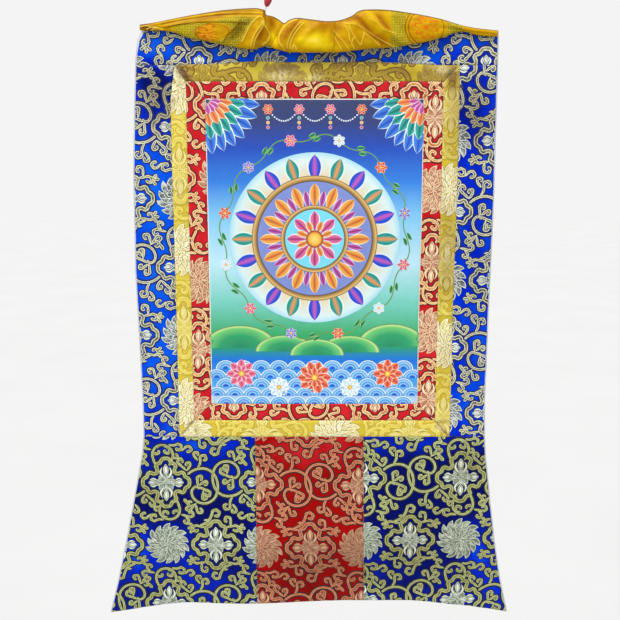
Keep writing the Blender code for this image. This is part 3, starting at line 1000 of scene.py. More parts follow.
def petal(start, end, bend=0.0, count=9):
    """A line from start to end, each (radius, degrees) around the flower's middle."""
    share = np.linspace(0, 1, count)
    radius = blend(start[0], end[0], share)
    angle = np.radians(blend(start[1], end[1], share) + bend * np.sin(math.pi * share))
    return np.stack([radius * np.cos(angle), radius * np.sin(angle)], 1)


def petal_half(count, widest, at=0.5):
    """Half widths along a petal, which is widest at this share of its length."""
    return widest * swell(count, at) + PETAL_END_MM


def swell(count, at):
    """0 at both ends and 1 at this share of the way."""
    share = np.linspace(0, 1, count) ** (math.log(0.5) / math.log(at))
    return np.sin(math.pi * share) ** 0.8


def capped(points, half, grow=1.0, lobes=0.0):
    """Half widths that round off both ends of a line, and swell and narrow along it."""
    along = np.concatenate([[0], np.cumsum(np.linalg.norm(np.diff(points, axis=0), axis=1))])
    near = np.minimum(along, along[-1] - along)
    wide = half * (1 + (grow - 1) * along / along[-1])
    wide = wide * (1 + lobes * np.sin(2 * math.pi * along / LOBE_MM))
    return wide * np.sqrt(np.clip(1 - np.clip(1 - near / half, 0, 1) ** 2, BLUNT_END, 1))


def cross_flower(centre):
    """The quatrefoil's flower: a cross of petals, two long white buds and two small round ones."""
    ribbons = []

    def add(line, half, level, kind, tilt=0.0):
        ribbons.append(Ribbon(line + centre, half, level, kind, tilt=tilt))

    for quarter in range(4):
        angle, tall = 90 * quarter, quarter % 2 == 1
        body = petal((1, angle + 45), (20.5, angle + 45), count=5)
        add(body, petal_half(5, 7.6), 4, CROSS)
        for side in (-1, 1):
            arm = petal((2, angle), (27, angle + 7 * side), count=6)
            add(arm, petal_half(6, 5.6, 0.56), 7, CROSS, -side)
        for side in (-1, 1):
            sepal = petal((9, angle + 21 * side), (34, angle + 12 * side), 13 * side)
            if not tall:
                sepal = petal((19, angle + 12 * side), (35, angle + 6 * side), 9 * side)
            add(sepal, petal_half(9, 2.1 if tall else 1.5), 10, WHITE_SILK)
        start, tip, half = (15, 40, 5.6) if tall else (19, 37, 5.2)
        add(petal((start, angle), (tip, angle)), petal_half(9, half), 12, CROSS)
        heart = petal((start + 3, angle), (tip - 2, angle), count=6)
        add(heart, petal_half(6, 2.9 if tall else 2.4), 14, WHITE_SILK)
    return ribbons


def rosette(centre):
    """A chrysanthemum: rings of petals, each lapping over the next in its ring."""
    ribbons = []
    for order, ring in enumerate(ROSETTE):
        for k in range(ring.count):
            angle = 360 * (k + 0.5 * order) / ring.count
            end = ring.end - 3 * (k % 2)
            line = petal((ring.start, angle), (end, angle + ring.swirl), -7 if k % 2 else -4, 8)
            half = petal_half(8, ring.half, 0.55)
            tilt = math.copysign(1.0, ring.swirl)
            ribbons.append(Ribbon(line + centre, half, 4 + 4 * order, ROSE, tilt=tilt))
    return ribbons


def repeat_ribbons():
    """Every ribbon of one repeat."""
    first, second = np.zeros(2), np.array(REPEAT_MM) / 2
    ribbons = []

    def add_pair(points, half, level, centre):
        ribbons.append(Ribbon(centre + points, half, level, VINE))
        ribbons.append(Ribbon(centre - points, half, level, VINE))

    for centre, curls, leaves in ((first, CURLS, LEAVES), (second, UPPER_CURLS, UPPER_LEAVES)):
        for curl in curls:
            points = along_curl(curl)
            add_pair(points, capped(points, CURL_HALF, CURL_GROWS, LOBE_SHARE), 1, centre)
        for leaf in leaves:
            points = np.linspace((leaf.u, leaf.v), (leaf.tip_u, leaf.tip_v), 7)
            add_pair(points, capped(points, leaf.half, LEAF_GROWS), 1, centre)
    for bend in (CIRCLE, RING):
        points = along_bend(bend)
        add_pair(points, capped(points, RING_HALF, lobes=LOBE_SHARE / 2), 2, first)
    for centre in (first, second):
        line = quatrefoil() + centre
        ribbons.append(Ribbon(line, np.full(len(line), FRAME_HALF), 3, VINE, True))
        ribbons += cross_flower(centre)
    return ribbons + rosette(np.array([0, REPEAT_MM[1] / 2]))


Loft = namedtuple("Loft", "points values faces")


def outline_of(ribbon):
    """How wide the dark line around a ribbon is, in millimetres: partly woven outline, partly
    painted shadow.
    """
    if ribbon.kind == VINE:
        return OUTLINE_MM if ribbon.level == 1 else HALO_MM
    return FLOWER_LINE_MM if ribbon.kind == WHITE_SILK or ribbon.tilt else BUD_LINE_MM


def lofted(ribbon, order):
    """A ribbon as a strip of points across its line, with their depth inside the outline."""
    line = ribbon.points
    if ribbon.closed:
        ahead, back = np.roll(line, -1, 0), np.roll(line, 1, 0)
    else:
        ahead = np.vstack([line[1:], 2 * line[-1:] - line[-2:-1]])
        back = np.vstack([2 * line[:1] - line[1:2], line[:-1]])
    heading = ahead - back
    heading /= np.linalg.norm(heading, axis=1)[:, None] + 1e-9
    across = np.stack([-heading[:, 1], heading[:, 0]], 1)
    outline = outline_of(ribbon)
    half = (ribbon.half + outline)[:, None]
    points = line[:, None] + across[:, None] * (half * THREAD_ACROSS)[:, :, None]
    edge = half * (1 - np.abs(THREAD_ACROSS)) + OUTLINE_MM - outline
    profile = THREAD_RISE_MM
    if ribbon.tilt:
        profile = TILTED_RISE_MM if ribbon.tilt > 0 else TILTED_RISE_MM[::-1]
    lift = LEVEL_MM * ribbon.level + HAIR_MM * (order % HAIRS)
    rise = profile * np.minimum(1.0, half / FULL_HALF_MM) + lift
    # How far across a tilted petal a point lies towards its raised side, where a painted highlight
    # falls.
    facing = np.broadcast_to(THREAD_ACROSS * ribbon.tilt, edge.shape)
    width = len(THREAD_ACROSS)
    faces = grid_faces(len(line), width)
    if ribbon.closed:
        last = (len(line) - 1) * width + np.arange(width - 1)
        faces = np.vstack([faces, np.stack([last, last % width, last % width + 1, last + 1], 1)])
    kind = np.full(edge.shape, float(ribbon.kind))
    values = np.stack([edge, rise, kind, facing], -1).reshape(-1, 4)
    return Loft(points.reshape(-1, 2), values, faces)


def laid_out(surface, lay, lofts, start=-1.0):
    """All copies of the repeat that reach a panel, as (u, v), values and faces."""
    steps = np.array([lay.weft, lay.warp]) / np.array(REPEAT_MM)[:, None]
    limits = [(side.min(), side.max()) for side in (surface.x, surface.drop)]
    corners = np.array([[x, drop] for x in limits[0] for drop in limits[1]])
    chart = (corners - [lay.x, lay.drop]) @ np.linalg.inv(steps) / np.array(REPEAT_MM)
    low, high = np.floor(chart.min(0)).astype(int) - 1, np.ceil(chart.max(0)).astype(int) + 1
    shares, values, faces, count = [], [], [], 0
    for column in range(low[0], high[0] + 1):
        for row in range(low[1], high[1] + 1):
            shift = np.array([column, row]) * REPEAT_MM
            for loft in lofts:
                x, drop = ((loft.points + shift) @ steps + [lay.x, lay.drop]).T
                u, v = share_of(surface.outline, x, drop)
                inside = (u > 0) & (u < 1) & (v > 0) & (v < 1)
                if inside.any() and start < np.mean(drop) < lay.end:
                    shares.append(np.stack([u, v], 1))
                    values.append(loft.values)
                    faces.append(loft.faces + count)
                    count += len(u)
    return [np.concatenate(part) for part in (shares, values, faces)]


def pieced(surface, node, lofts):
    """The threads of one panel, also where a second piece of cloth is joined on."""
    lay = LAYS[node]
    parts = [laid_out(surface, lay, lofts)]
    if node in PIECED:
        parts.append(laid_out(surface, PIECED[node], lofts, lay.end))
        parts[1][2] = parts[1][2] + len(parts[0][0])
    return [np.concatenate(part) for part in zip(*parts)]


def trimmed(mesh):
    """Cuts the threads off along the panel's four sides."""
    for point, normal in (((0, 0, 0), (-1, 0, 0)), ((1, 0, 0), (1, 0, 0)),
                          ((0, 0, 0), (0, -1, 0)), ((0, 1, 0), (0, 1, 0))):
        geometry = mesh.verts[:] + mesh.edges[:] + mesh.faces[:]
        bmesh.ops.bisect_plane(mesh, geom=geometry, dist=1e-7, plane_co=point, plane_no=normal,
                               clear_outer=True)


def add_threads(node, surface, lofts, material, spots):
    """The brocade's raised threads on one panel."""
    shares, values, faces = pieced(surface, node, lofts)
    named = dict(zip(("edge", "rise", "kind", "across"), values.T))
    obj = new_piece(f"{node}_threads", np.insert(shares, 2, 0.0, axis=1), faces, material, named)
    with editing(obj.data) as mesh:
        trimmed(mesh)
    points = obj.data.vertices
    flat, rise = np.empty(len(points) * 3, np.float32), np.empty(len(points), np.float32)
    points.foreach_get("co", flat)
    obj.data.attributes["rise"].data.foreach_get("value", rise)
    u, v = flat.reshape(-1, 3)[:, :2].astype(float).T
    x, drop = place_on(surface.outline, u, v)
    foil = foil_at(x, drop)
    y = surface.read(u, v) - rise * MM * (1 - FOIL_FLATTENS * foil)
    points.foreach_set("co", np.stack([x, y, -drop], 1).astype(np.float32).ravel())
    # The foil's painted facets, and the threads' painted shade from the given spots.
    set_values(obj.data, {"foil": foil, "painted_light": spot_tone(spots, x, drop)})
    obj.data.update()
    return obj


# ---------------------------------------------------------------------------------------------
# Panels.

# Where the repeat's first quatrefoil sits on each panel, and the repeat's two steps.
UPRIGHT = ((0.2045, 0.0), (0.0, 0.2726))
LEVEL = ((0.0, -0.2045), (0.2726, 0.0))
LAYS = {
    "skirt_left": Lay(-0.3075, 0.9000, (0.2035, -0.0010), (-0.0010, 0.2730)),
    "skirt_centre": Lay(-0.1175, 0.9035, (0.2095, 0.0045), (0.0090, 0.2760)),
    "skirt_right": Lay(0.3025, 0.8875, (0.2055, -0.0038), (0.0010, 0.2725)),
    "blue_side_left": Lay(-0.2620, 0.1790, *UPRIGHT),
    "blue_side_right": Lay(0.2570, 0.0689, *UPRIGHT),
    "blue_top_strip": Lay(-0.2200, 0.0825, *LEVEL),
    "red_border_left": Lay(-0.1820, 0.1375, (0.2010, 0.0), (0.0, 0.2800), 0.389),
    "red_border_right": Lay(0.2312, 0.1600, (0.2045, 0.0), (0.0, 0.2808)),
    "red_border_top": Lay(-0.2478, 0.2498, (0.0, -0.2045), (0.2917, 0.0)),
    "red_border_bottom": Lay(-0.0206, 0.8133, (0.0, -0.2045), (0.2875, 0.0)),
    "gold_border_left": Lay(-0.2620, 0.2620, (0.2045, 0.0), (0.0, 0.3120)),
    "gold_border_right": Lay(0.2625, 0.1457, (0.2045, 0.0), (0.0, 0.3080)),
    "gold_border_top": Lay(-0.2144, 0.0992, (0.0, -0.2045), (0.3028, 0.0)),
    "gold_border_bottom": Lay(-0.1075, 0.7970, (0.0, -0.2045), (0.3030, 0.0)),
}
# The left red strip is pieced: below its join the repeat starts afresh.
PIECED = {"red_border_left": Lay(-0.2345, 0.6175, (0.2045, 0.0), (-0.0110, 0.2770))}

# Painted highlights and painted shade on each satin ground, where its sheen catches the folds or
# not.
BLUE_PAINTED_LIGHT = table(
    Spot, 2,
    # top strip and the two side strips
    (-305, 30, 60, 30, 0, 0.22), (-300, 96, 45, 30, 40, -0.62), (-320, 150, 50, 20, 80, -0.3),
    (-298, 125, 70, 34, 90, -0.4), (-315, 330, 160, 30, 90, 0.2), (-310, 620, 120, 30, 90, 0.12),
    (-330, 770, 50, 25, 90, -0.18), (310, 50, 50, 20, 0, -0.2), (300, 150, 80, 45, 90, -0.5),
    (325, 420, 120, 22, 90, -0.22), (280, 470, 320, 40, 90, -0.16),
    # skirt, left panel
    (-240, 822, 120, 18, 0, 0.4), (-345, 950, 70, 40, 24, -0.34), (-225, 950, 90, 40, 10, -0.16),
    (-370, 1060, 60, 40, 70, 0.36), (-180, 1020, 120, 50, 60, -0.3),
    (-330, 1150, 70, 30, 10, -0.18), (-250, 1130, 60, 30, 0, 0.16),
    # skirt, right panel
    (180, 818, 110, 14, 0, 0.28), (220, 960, 120, 130, 0, -0.46), (340, 880, 40, 70, 0, -0.2),
    (345, 1060, 60, 32, 70, 0.42), (390, 1150, 40, 40, 0, 0.25), (180, 1130, 80, 30, 0, -0.15),
)
RED_PAINTED_LIGHT = table(
    Spot, 2,
    (-10, 830, 110, 30, 0, 0.26), (-10, 1110, 120, 70, 0, -0.3), (-60, 960, 50, 60, 90, -0.12),
    (230, 400, 160, 30, 90, -0.1),
)
# The gold frame's painted light, with painted shade along the creases in its mitred corners.
GOLD_PAINTED_LIGHT = table(
    Spot, 2,
    (-251, 79, 19, 6, 46, -0.75), (-240, 70, 22, 3.5, 12, -0.35), (262, 420, 300, 20, 90, -0.3),
    (262, 88, 22, 10, 90, -0.5), (190, 80, 60, 12, 0, -0.28), (-60, 72, 40, 10, 0, -0.22),
    (-262, 180, 40, 12, 90, 0.3), (-262, 400, 50, 10, 90, 0.25), (262, 300, 50, 10, 90, 0.2),
    (262, 560, 50, 10, 90, 0.22), (262, 785, 20, 2.2, 49, -0.6), (262, 768, 12, 3, 175, -0.4),
    (-262, 785, 20, 2.2, 131, -0.6), (-254, 772, 12, 3, 160, -0.4),
)
# Painted shade on the threads, where they lie in shade. A tone above -0.06 changes nothing.
THREAD_PAINTED_SHADE = table(
    Spot, 2,
    (-345, 925, 60, 25, 20, -0.06), (-120, 50, 40, 22, 0, -0.16), (-45, 50, 60, 22, 0, -0.26),
    (50, 52, 60, 20, 0, -0.3), (130, 52, 40, 20, 0, -0.22), (190, 55, 24, 16, 0, -0.16),
    (-302, 122, 66, 44, 90, -0.36), (308, 155, 75, 45, 90, -0.32), (318, 560, 300, 36, 90, -0.16),
    (0, 1090, 600, 80, 0, -0.15), (320, 862, 50, 36, 0, -0.16), (240, 1090, 140, 80, 0, -0.07),
    (-340, 930, 50, 30, 30, -0.1), (230, 960, 100, 90, 0, -0.14), (20, 1080, 120, 80, 0, -0.1),
)
# Where the gold border's foil is crushed and takes painted highlights and shade on its facets, and
# how much flatter its threads lie there.
FOIL_SPOTS = table(
    Spot, 2,
    (-276, 94, 34, 14, 84, 1.3), (-264, 300, 14, 10, 90, 0.4), (262, 420, 24, 10, 90, 0.4),
    (-66, 84, 24, 10, 0, 0.6), (0, 88, 16, 8, 0, 0.5), (245, 72, 20, 8, 0, 0.4),
    (-250, 788, 20, 10, 0, 0.7), (256, 782, 12, 9, 0, 0.5),
)
FOIL_FLATTENS = 0.6
# What the panels are made of, by node or by the first word of a node's name.
Weave = namedtuple("Weave", "satin thread spots tone slot")
WEAVES = {
    "blue": Weave("blue", "silver", BLUE_PAINTED_LIGHT, 0.68, "blue_brocade"),
    "skirt": Weave("blue", "olive", BLUE_PAINTED_LIGHT, 0.26, "blue_brocade"),
    "skirt_centre": Weave("red", "salmon", RED_PAINTED_LIGHT, 0.46, "red_brocade"),
    "red": Weave("red", "cream", RED_PAINTED_LIGHT, 0.80, "red_brocade"),
    "gold": Weave("gold", "foil", GOLD_PAINTED_LIGHT, 0.58, "gold_brocade"),
    "gold_border_top": Weave("gold", "dark_gold", GOLD_PAINTED_LIGHT, 0.58, "gold_brocade"),
}
PANEL_CELL = 0.0055


def foil_at(x, drop):
    return np.clip(spot_tone(FOIL_SPOTS, x, drop), 0.0, 1.0)


def add_panel(node, outline, weave, satin, thread, lofts):
    """One brocade panel: the ground cloth and the threads on it."""
    surface = Surface(outline, PANEL_CELL)
    painted_light = weave.tone + spot_tone(weave.spots, surface.x, surface.drop)
    values = {"painted_light": painted_light, "foil": foil_at(surface.x, surface.drop)}
    cloth = surface.cloth(f"{node}_cloth", satin, BROCADE, values)
    # Threads take painted shade from their own spots, and on gold also from the ground's.
    thread_shade_spots = THREAD_PAINTED_SHADE + (weave.spots if weave.satin == "gold" else ())
    threads = add_threads(node, surface, lofts, thread, thread_shade_spots)
    settle(weave.slot, cloth, threads)
    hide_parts(node)


def add_panels(outlines):
    lofts = [lofted(ribbon, order) for order, ribbon in enumerate(repeat_ribbons())]
    satins = {key: satin_material(f"{key}_satin", satin, foil=key == "gold")
              for key, satin in SATINS.items()}
    threads = {key: thread_material(f"{key}_thread", thread, foil=key in ("foil", "dark_gold"),
                                    patchy_shade=key == "silver")
               for key, thread in THREADS.items()}
    for node in LAYS:
        weave = WEAVES.get(node) or WEAVES[node.split("_")[0]]
        add_panel(node, outlines[node], weave, satins[weave.satin], threads[weave.thread], lofts)


# ---------------------------------------------------------------------------------------------
# The painted canvas: a generic lotus wheel over clouds, hills and water.

PICTURE_CELL = 0.006
PAINT_STEP = 0.00004
PAINT_CELL = 0.009
ARC_CELL = 0.0009
# Petals by turns lie this share of a layer higher.
PETAL_STEP = 0.14
PETAL_TURNS = 5
WHEEL_DROP = 0.395
WHEEL_RADIUS = 0.150
GARLAND_RADIUS = 0.182
GARLAND_TALL = 1.08
CREAM = (246, 240, 222)
SKY = {
    0.126: (58, 68, 108), 0.170: (54, 66, 122), 0.220: (34, 78, 186), 0.285: (52, 128, 222),
    0.350: (126, 198, 240), 0.440: (188, 230, 246), 0.520: (120, 204, 190), 0.585: (58, 168, 104),
    0.615: (40, 150, 110), 0.640: (22, 112, 216), 0.690: (70, 160, 230), 0.731: (196, 218, 232),
}


def colours_at(place, keys, levels):
    """Painted colours at places along a run of screen colours."""
    painted = np.array([paint(*level) for level in levels])
    return np.stack([np.interp(place, keys, painted[:, k]) for k in range(3)], -1)


def leaf_tones(rim, body, heart):
    """Tones for a petal: its heart, its body and a fine rim."""
    return ((0.0, heart), (0.45, body), (0.78, body), (0.84, rim), (1.0, rim))


# A ring of petals, in shares of its flower's size and of the step from petal to petal.
Whorl = namedtuple("Whorl", "start end half offset widest points", defaults=(0.62, 11))


class Painting:
    """Collects flat coloured shapes, each on its own thin layer over the canvas."""

    def __init__(self, surface):
        self.surface = surface
        self.points, self.colours, self.faces = [], [], []
        self.count = 0
        self.layer = 1
        self.turn = 0

    def add(self, x, drop, colours, faces):
        u, v = share_of(self.surface.outline, x, drop)
        u, v = np.clip(u, 0.0, 1.0), np.clip(v, 0.0, 1.0)
        x, drop = place_on(self.surface.outline, u, v)
        y = self.surface.read(u, v) - PAINT_STEP * self.layer
        self.points.append(np.stack([x, y, -drop], -1).reshape(-1, 3))
        self.colours.append(np.broadcast_to(colours, (*x.shape, 3)).reshape(-1, 3))
        self.faces.append(faces + self.count)
        self.count += x.size

    def strip(self, line, half, tones, closed=False):
        """A ribbon along a line. The tones run across it from the middle to both rims."""
        line, half = np.array(line, float), np.broadcast_to(half, len(line))
        if closed:
            line, half = np.vstack([line, line[:1]]), np.append(half, half[0])
        heading = np.gradient(line, axis=0)
        heading /= np.linalg.norm(heading, axis=1)[:, None] + 1e-12
        across = np.stack([-heading[:, 1], heading[:, 0]], 1)
        shares = [-share for share, _ in tones[::-1]] + [share for share, _ in tones[1:]]
        colours = [paint(*colour) for _, colour in (*tones[::-1], *tones[1:])]
        grid = line[:, None] + across[:, None] * (half[:, None] * np.array(shares))[:, :, None]
        self.add(grid[..., 0], grid[..., 1], np.array([colours]), grid_faces(*grid.shape[:2]))

    def ring(self, x, drop, size, radii, colours, squash=1.0, start=0.0, end=360.0):
        """A disc or ring around (x, drop), with a colour at each radius."""
        radii = np.array(radii) * size
        count = max(12, round(max(radii) / ARC_CELL)) + 1
        steps = [np.linspace(a, b, math.ceil((b - a) / PAINT_CELL), endpoint=False)
                 for a, b in zip(radii, radii[1:])]
        finer = np.concatenate([*steps, [radii[-1]]])
        radius, angle = np.meshgrid(finer, np.radians(np.linspace(start, end, count)))
        self.add(x + radius * np.cos(angle), drop + squash * radius * np.sin(angle),
                 colours_at(finer, radii, colours)[None], grid_faces(*radius.shape))

    def petal(self, x, drop, start, end, half, angle, tones, widest=0.6, bend=0.0, count=11):
        """One petal. Each lies a hair over the last, so that neighbours overlap cleanly."""
        self.turn = (self.turn + 1) % PETAL_TURNS
        self.layer += PETAL_STEP * self.turn
        line = petal((start, angle), (end, angle), bend, count) + [x, drop]
        self.strip(line, half * blend(BLUNT_END, 1.0, swell(count, widest)), tones)
        self.layer -= PETAL_STEP * self.turn

    def whorl(self, x, drop, size, row, count, shades, turn=0.0):
        """A ring of petals, whose shades take turns."""
        for k in range(count):
            self.petal(x, drop, row.start * size, row.end * size, row.half * size,
                       360 * (k + row.offset) / count + turn, leaf_tones(*shades[k % len(shades)]),
                       row.widest, count=row.points)

    def build(self, material):
        return new_piece("painted_shapes", np.vstack(self.points), np.vstack(self.faces),
                         material, pigment=np.vstack(self.colours))


# Each fan's rows of petals in shares of its size: their reach and half width, how many, and
# their rim, body and heart.
FAN = (
    (1.00, 0.126, 7, ((226, 244, 250), (66, 128, 222), (34, 74, 184))),
    (0.74, 0.105, 6, ((236, 250, 244), (52, 170, 158), (16, 108, 112))),
    (0.50, 0.0798, 5, ((252, 232, 214), (236, 150, 84), (206, 88, 56))),
    (0.28, 0.0546, 4, ((252, 240, 246), (206, 104, 178), (156, 50, 130))),
)
FAN_SIZE = 0.105
FAN_START = 0.08


def paint_fan(art, x, drop, side):
    """A fan of lotus petals that opens from an upper corner of the canvas."""
    for reach, half, count, shades in FAN:
        art.layer += 1
        for k in range(count):
            share = 90 * (k + 0.5) / count
            art.petal(x, drop, FAN_START * FAN_SIZE, reach * FAN_SIZE, half * FAN_SIZE,
                      share if side > 0 else 180 - share, leaf_tones(*shades), 0.62)
    art.layer -= len(FAN)


# The wheel from its halo to its heart, in shares of its radius: discs of (radii, colours), and
# rings of petals with their number and shades.
WHEEL = (
    ((0.0, 0.70, 1.04, 1.12),
     ((236, 190, 116), (238, 200, 130), (214, 236, 236), (168, 220, 240))),
    (Whorl(0.72, 1.09, 0.100, 0, 0.58), 20, (((226, 246, 240), (22, 150, 140), (236, 152, 84)),
                                             ((226, 238, 252), (34, 78, 204), (200, 92, 184)))),
    ((0.0, 0.745, 0.750, 0.80, 0.805, 0.825),
     ((110, 124, 196), (128, 146, 210), (92, 66, 40), (216, 174, 102), (228, 194, 124),
      (96, 66, 34))),
    (Whorl(0.38, 0.725, 0.070, 0), 16, (((250, 224, 170), (236, 164, 76), (196, 92, 44)),)),
    (Whorl(0.38, 0.64, 0.045, 0.5), 16, (((240, 244, 252), (190, 96, 176), (126, 36, 110)),)),
    ((0.0, 0.385, 0.390, 0.425, 0.430, 0.445),
     ((104, 206, 238), (128, 220, 246), (92, 66, 40), (216, 174, 102), (232, 200, 132),
      (96, 66, 34))),
    (Whorl(0.10, 0.365, 0.070, 0), 8, (((253, 240, 244), (216, 110, 160), (160, 42, 104)),)),
    (Whorl(0.07, 0.25, 0.045, 0.5), 8, (((253, 248, 230), (236, 160, 84), (190, 82, 44)),)),
    ((0.0, 0.075, 0.10, 0.115), ((252, 226, 120), (244, 186, 74), (196, 96, 36), (120, 50, 24))),
)


def paint_wheel(art, x, drop, radius):
    """The central lotus wheel, each part a layer above the last."""
    for part in WHEEL:
        if len(part) == 2:
            art.ring(x, drop, radius, *part)
        else:
            art.whorl(x, drop, radius, *part)
        art.layer += 1


FLOWER = (Whorl(0.1, 1.0, 0.30, 0, 0.6, 8), Whorl(0.05, 0.62, 0.19, 0.5, 0.6, 7))
FLOWER_HEART = ((0.0, 0.16, 0.22), ((252, 232, 130), (238, 178, 66), (170, 90, 30)))
PINK = ((252, 236, 240), (230, 126, 152), (196, 58, 104))
WHITE = ((255, 255, 255), (226, 238, 244), (160, 200, 226))
CORAL = ((252, 228, 206), (230, 118, 84), (188, 54, 48))
LILAC = ((244, 240, 252), (150, 150, 216), (92, 88, 176))


def paint_flower(art, x, drop, size, shades, count=8, turn=0.0):
    """A small open lotus."""
    for row in FLOWER:
        art.layer += 1
        art.whorl(x, drop, size, row, count, (shades,), turn)
    art.layer += 1
    art.ring(x, drop, size, *FLOWER_HEART)
    art.layer -= 3


def on_garland(x, drop, radius, degrees):
    """A point of the garland's oval."""
    angle = np.radians(degrees)
    return x + radius * np.cos(angle), drop + GARLAND_TALL * radius * np.sin(angle)


def paint_garland(art, x, drop, radius):
    """Leaves and flowers on a waving stem around the wheel."""
    art.layer += 1
    degrees = np.linspace(0, 360, 181)[:-1]
    sway = radius * (1 + 0.035 * np.sin(12 * np.radians(degrees)))
    stem = np.stack(on_garland(x, drop, sway, degrees), 1)
    art.strip(stem, 0.0011, ((0.0, (30, 120, 84)), (1.0, (150, 190, 90))), closed=True)
    leaf = leaf_tones((196, 226, 150), (44, 148, 92), (16, 96, 74))
    for k in range(48):
        foot = on_garland(x, drop, radius, 7.5 * k + 3.75)
        lean = 7.5 * k + (62 if k % 2 else -118)
        art.petal(*foot, 0.0, 0.017, 0.0042, lean, leaf, 0.5, 8, 8)
    art.layer += 1
    for k in range(12):
        place = on_garland(x, drop, radius, 30 * k + 15)
        paint_flower(art, *place, 0.0125, (PINK, WHITE, CORAL, LILAC)[k % 4], 6, 30 * k)


PEARL = ((0.0, 0.0012, 0.0019), ((255, 255, 255), (226, 236, 246), (90, 110, 170)))
BUD_RADII = (0.0, 0.0024, 0.0034)
BUDS = ((60, 170, 160), (236, 178, 84), (200, 84, 160))
SWAG_DROP = 0.146


def paint_swags(art):
    """Strings of pearls and buds that hang along the top."""
    art.layer += 5
    for centre in (-0.060, 0.0, 0.060):
        share = np.linspace(-1, 1, 15)
        for x, drop in zip(centre + 0.030 * share, SWAG_DROP + 0.022 * (1 - share**2)):
            art.ring(x, drop, 1, *PEARL)
    for x in (-0.090, -0.030, 0.030, 0.090):
        paint_flower(art, x, SWAG_DROP, 0.011, PINK if abs(x) < 0.05 else CORAL, 6)
        for k, colour in enumerate(BUDS):
            drop = SWAG_DROP + 0.016 + 0.009 * k
            art.ring(x, drop, 1, BUD_RADII, (colour, colour, (250, 244, 226)))
    art.layer -= 5


Hill = namedtuple("Hill", "x drop size squash")
HILLS = table(Hill, 1, (-150, 615, 75, 0.62), (155, 612, 70, 0.66), (-60, 622, 60, 0.55),
              (70, 624, 62, 0.55), (5, 630, 55, 0.60))
HILL = ((0.0, 0.55, 0.86, 0.93, 1.0),
        ((34, 132, 96), (48, 158, 104), (112, 198, 116), (196, 226, 140), (30, 110, 90)))


def paint_hills(art):
    """Rounded hills behind the water."""
    art.layer += 1
    for hill in HILLS:
        art.layer += 0.5
        art.ring(hill.x, hill.drop, hill.size, *HILL, hill.squash, 180.0, 360.0)
    art.layer -= 2.5


SCALE = ((0.0, 0.30, 0.34, 0.60, 0.64, 0.88, 0.93, 1.0),
         ((20, 84, 200), (24, 100, 210), (150, 206, 240), (34, 122, 222), (170, 216, 242),
          (52, 146, 230), (236, 246, 250), (226, 240, 250)))
SCALE_SIZE = 0.0195
SCALE_STEP = 0.036
WATER_DROP = 0.658
WATER_HALF = 0.214


def paint_water(art):
    """Rows of overlapping wave scales with pale crests."""
    art.layer += 3
    for row in range(6):
        art.layer += 0.25
        for k in range(-6, 7):
            x = SCALE_STEP * (k + 0.5 * (row % 2))
            if abs(x) <= WATER_HALF:
                art.ring(x, WATER_DROP + 0.0185 * row, SCALE_SIZE, *SCALE, 0.9, 180.0, 360.0)
    art.layer -= 1


# The fine pale line just inside the canvas's edge.
RIM_FRAME = Frame(-0.2090, 0.2090, 0.1270, 0.7300)


def paint_rim(art):
    left, right, top, bottom = RIM_FRAME
    corners = [(left, top), (right, top), (right, bottom), (left, bottom)]
    for start, end in zip(corners, corners[1:] + corners[:1]):
        art.strip(np.linspace(start, end, 60), 0.0007, ((0.0, CREAM), (1.0, CREAM)))


def add_picture(outline):
    """The canvas and the shapes painted on it."""
    surface = Surface(outline, PICTURE_CELL, puckered=False)
    material = painting_material()
    sky = colours_at(surface.drop, list(SKY), SKY.values())
    canvas = surface.cloth("picture_canvas", material, BROCADE, pigment=sky)
    art = Painting(surface)
    paint_hills(art)
    paint_water(art)
    for side in (-1, 1):
        paint_fan(art, -side * 0.2095, 0.1265, side)
    paint_swags(art)
    art.layer = 5
    paint_garland(art, 0.0, WHEEL_DROP, GARLAND_RADIUS)
    paint_wheel(art, 0.0, WHEEL_DROP, WHEEL_RADIUS)
    art.layer = 5
    for side in (-1, 1):
        paint_flower(art, side * 0.148, 0.668, 0.030, PINK if side < 0 else CORAL)
        paint_flower(art, side * 0.072, 0.696, 0.022, WHITE)
    paint_flower(art, 0.0, 0.676, 0.034, CORAL, 10)
    art.layer = 1
    paint_rim(art)
    shapes = art.build(material)
    settle("canvas", canvas, shapes)
    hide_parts("picture_panel")


# ---------------------------------------------------------------------------------------------
# The lining.

# The width of the lining's edge that takes painted blue-grey shade from the brocade.
LINING_RIM = 0.0032
LINING_CELL = 0.008


def add_lining():
    """One pale cloth behind everything, a little wider than the brocade."""
    left, right = both_edges(GROUND_EDGES)
    hem = reading(HEM, "x", "drop")
    outline = Outline(
        lambda drop: left(drop) - LINING_SHOWS,
        lambda drop: right(drop) + LINING_SHOWS,
        steady(0.0),
        lambda u: hem(blend(HEM[0].x, HEM[-1].x, u)) - SEAM,
    )
    surface = Surface(outline, LINING_CELL)
    surface.y = stand_off(surface.x, surface.drop) + BROCADE / 2 + LINING_GAP
    surface.y -= crease_height(surface.x, surface.drop, WIDE_CREASE)
    from_side = (0.5 - np.abs(surface.us - 0.5)) * surface.width
    rim = np.broadcast_to(1.0 - smooth(from_side / LINING_RIM), surface.x.shape)
    cloth = surface.cloth("lining_cloth", lining_material(), LINING, {"rim": rim})
    settle("lining", cloth)
    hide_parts("lining")


# ---------------------------------------------------------------------------------------------
# The gathered veil.

VEIL_CELLS = 460
# Between these shares of the section the silk is in front. The other rows are out of sight.
FRONT_STARTS, FRONT_ENDS = 0.20, 0.80
FRONT_FADE = 0.08
VEIL_ROWS = ((0.0, FRONT_STARTS, 8), (FRONT_STARTS, FRONT_ENDS, 78), (FRONT_ENDS, 1.0, 10))
VEIL_SHEET = 0.0005
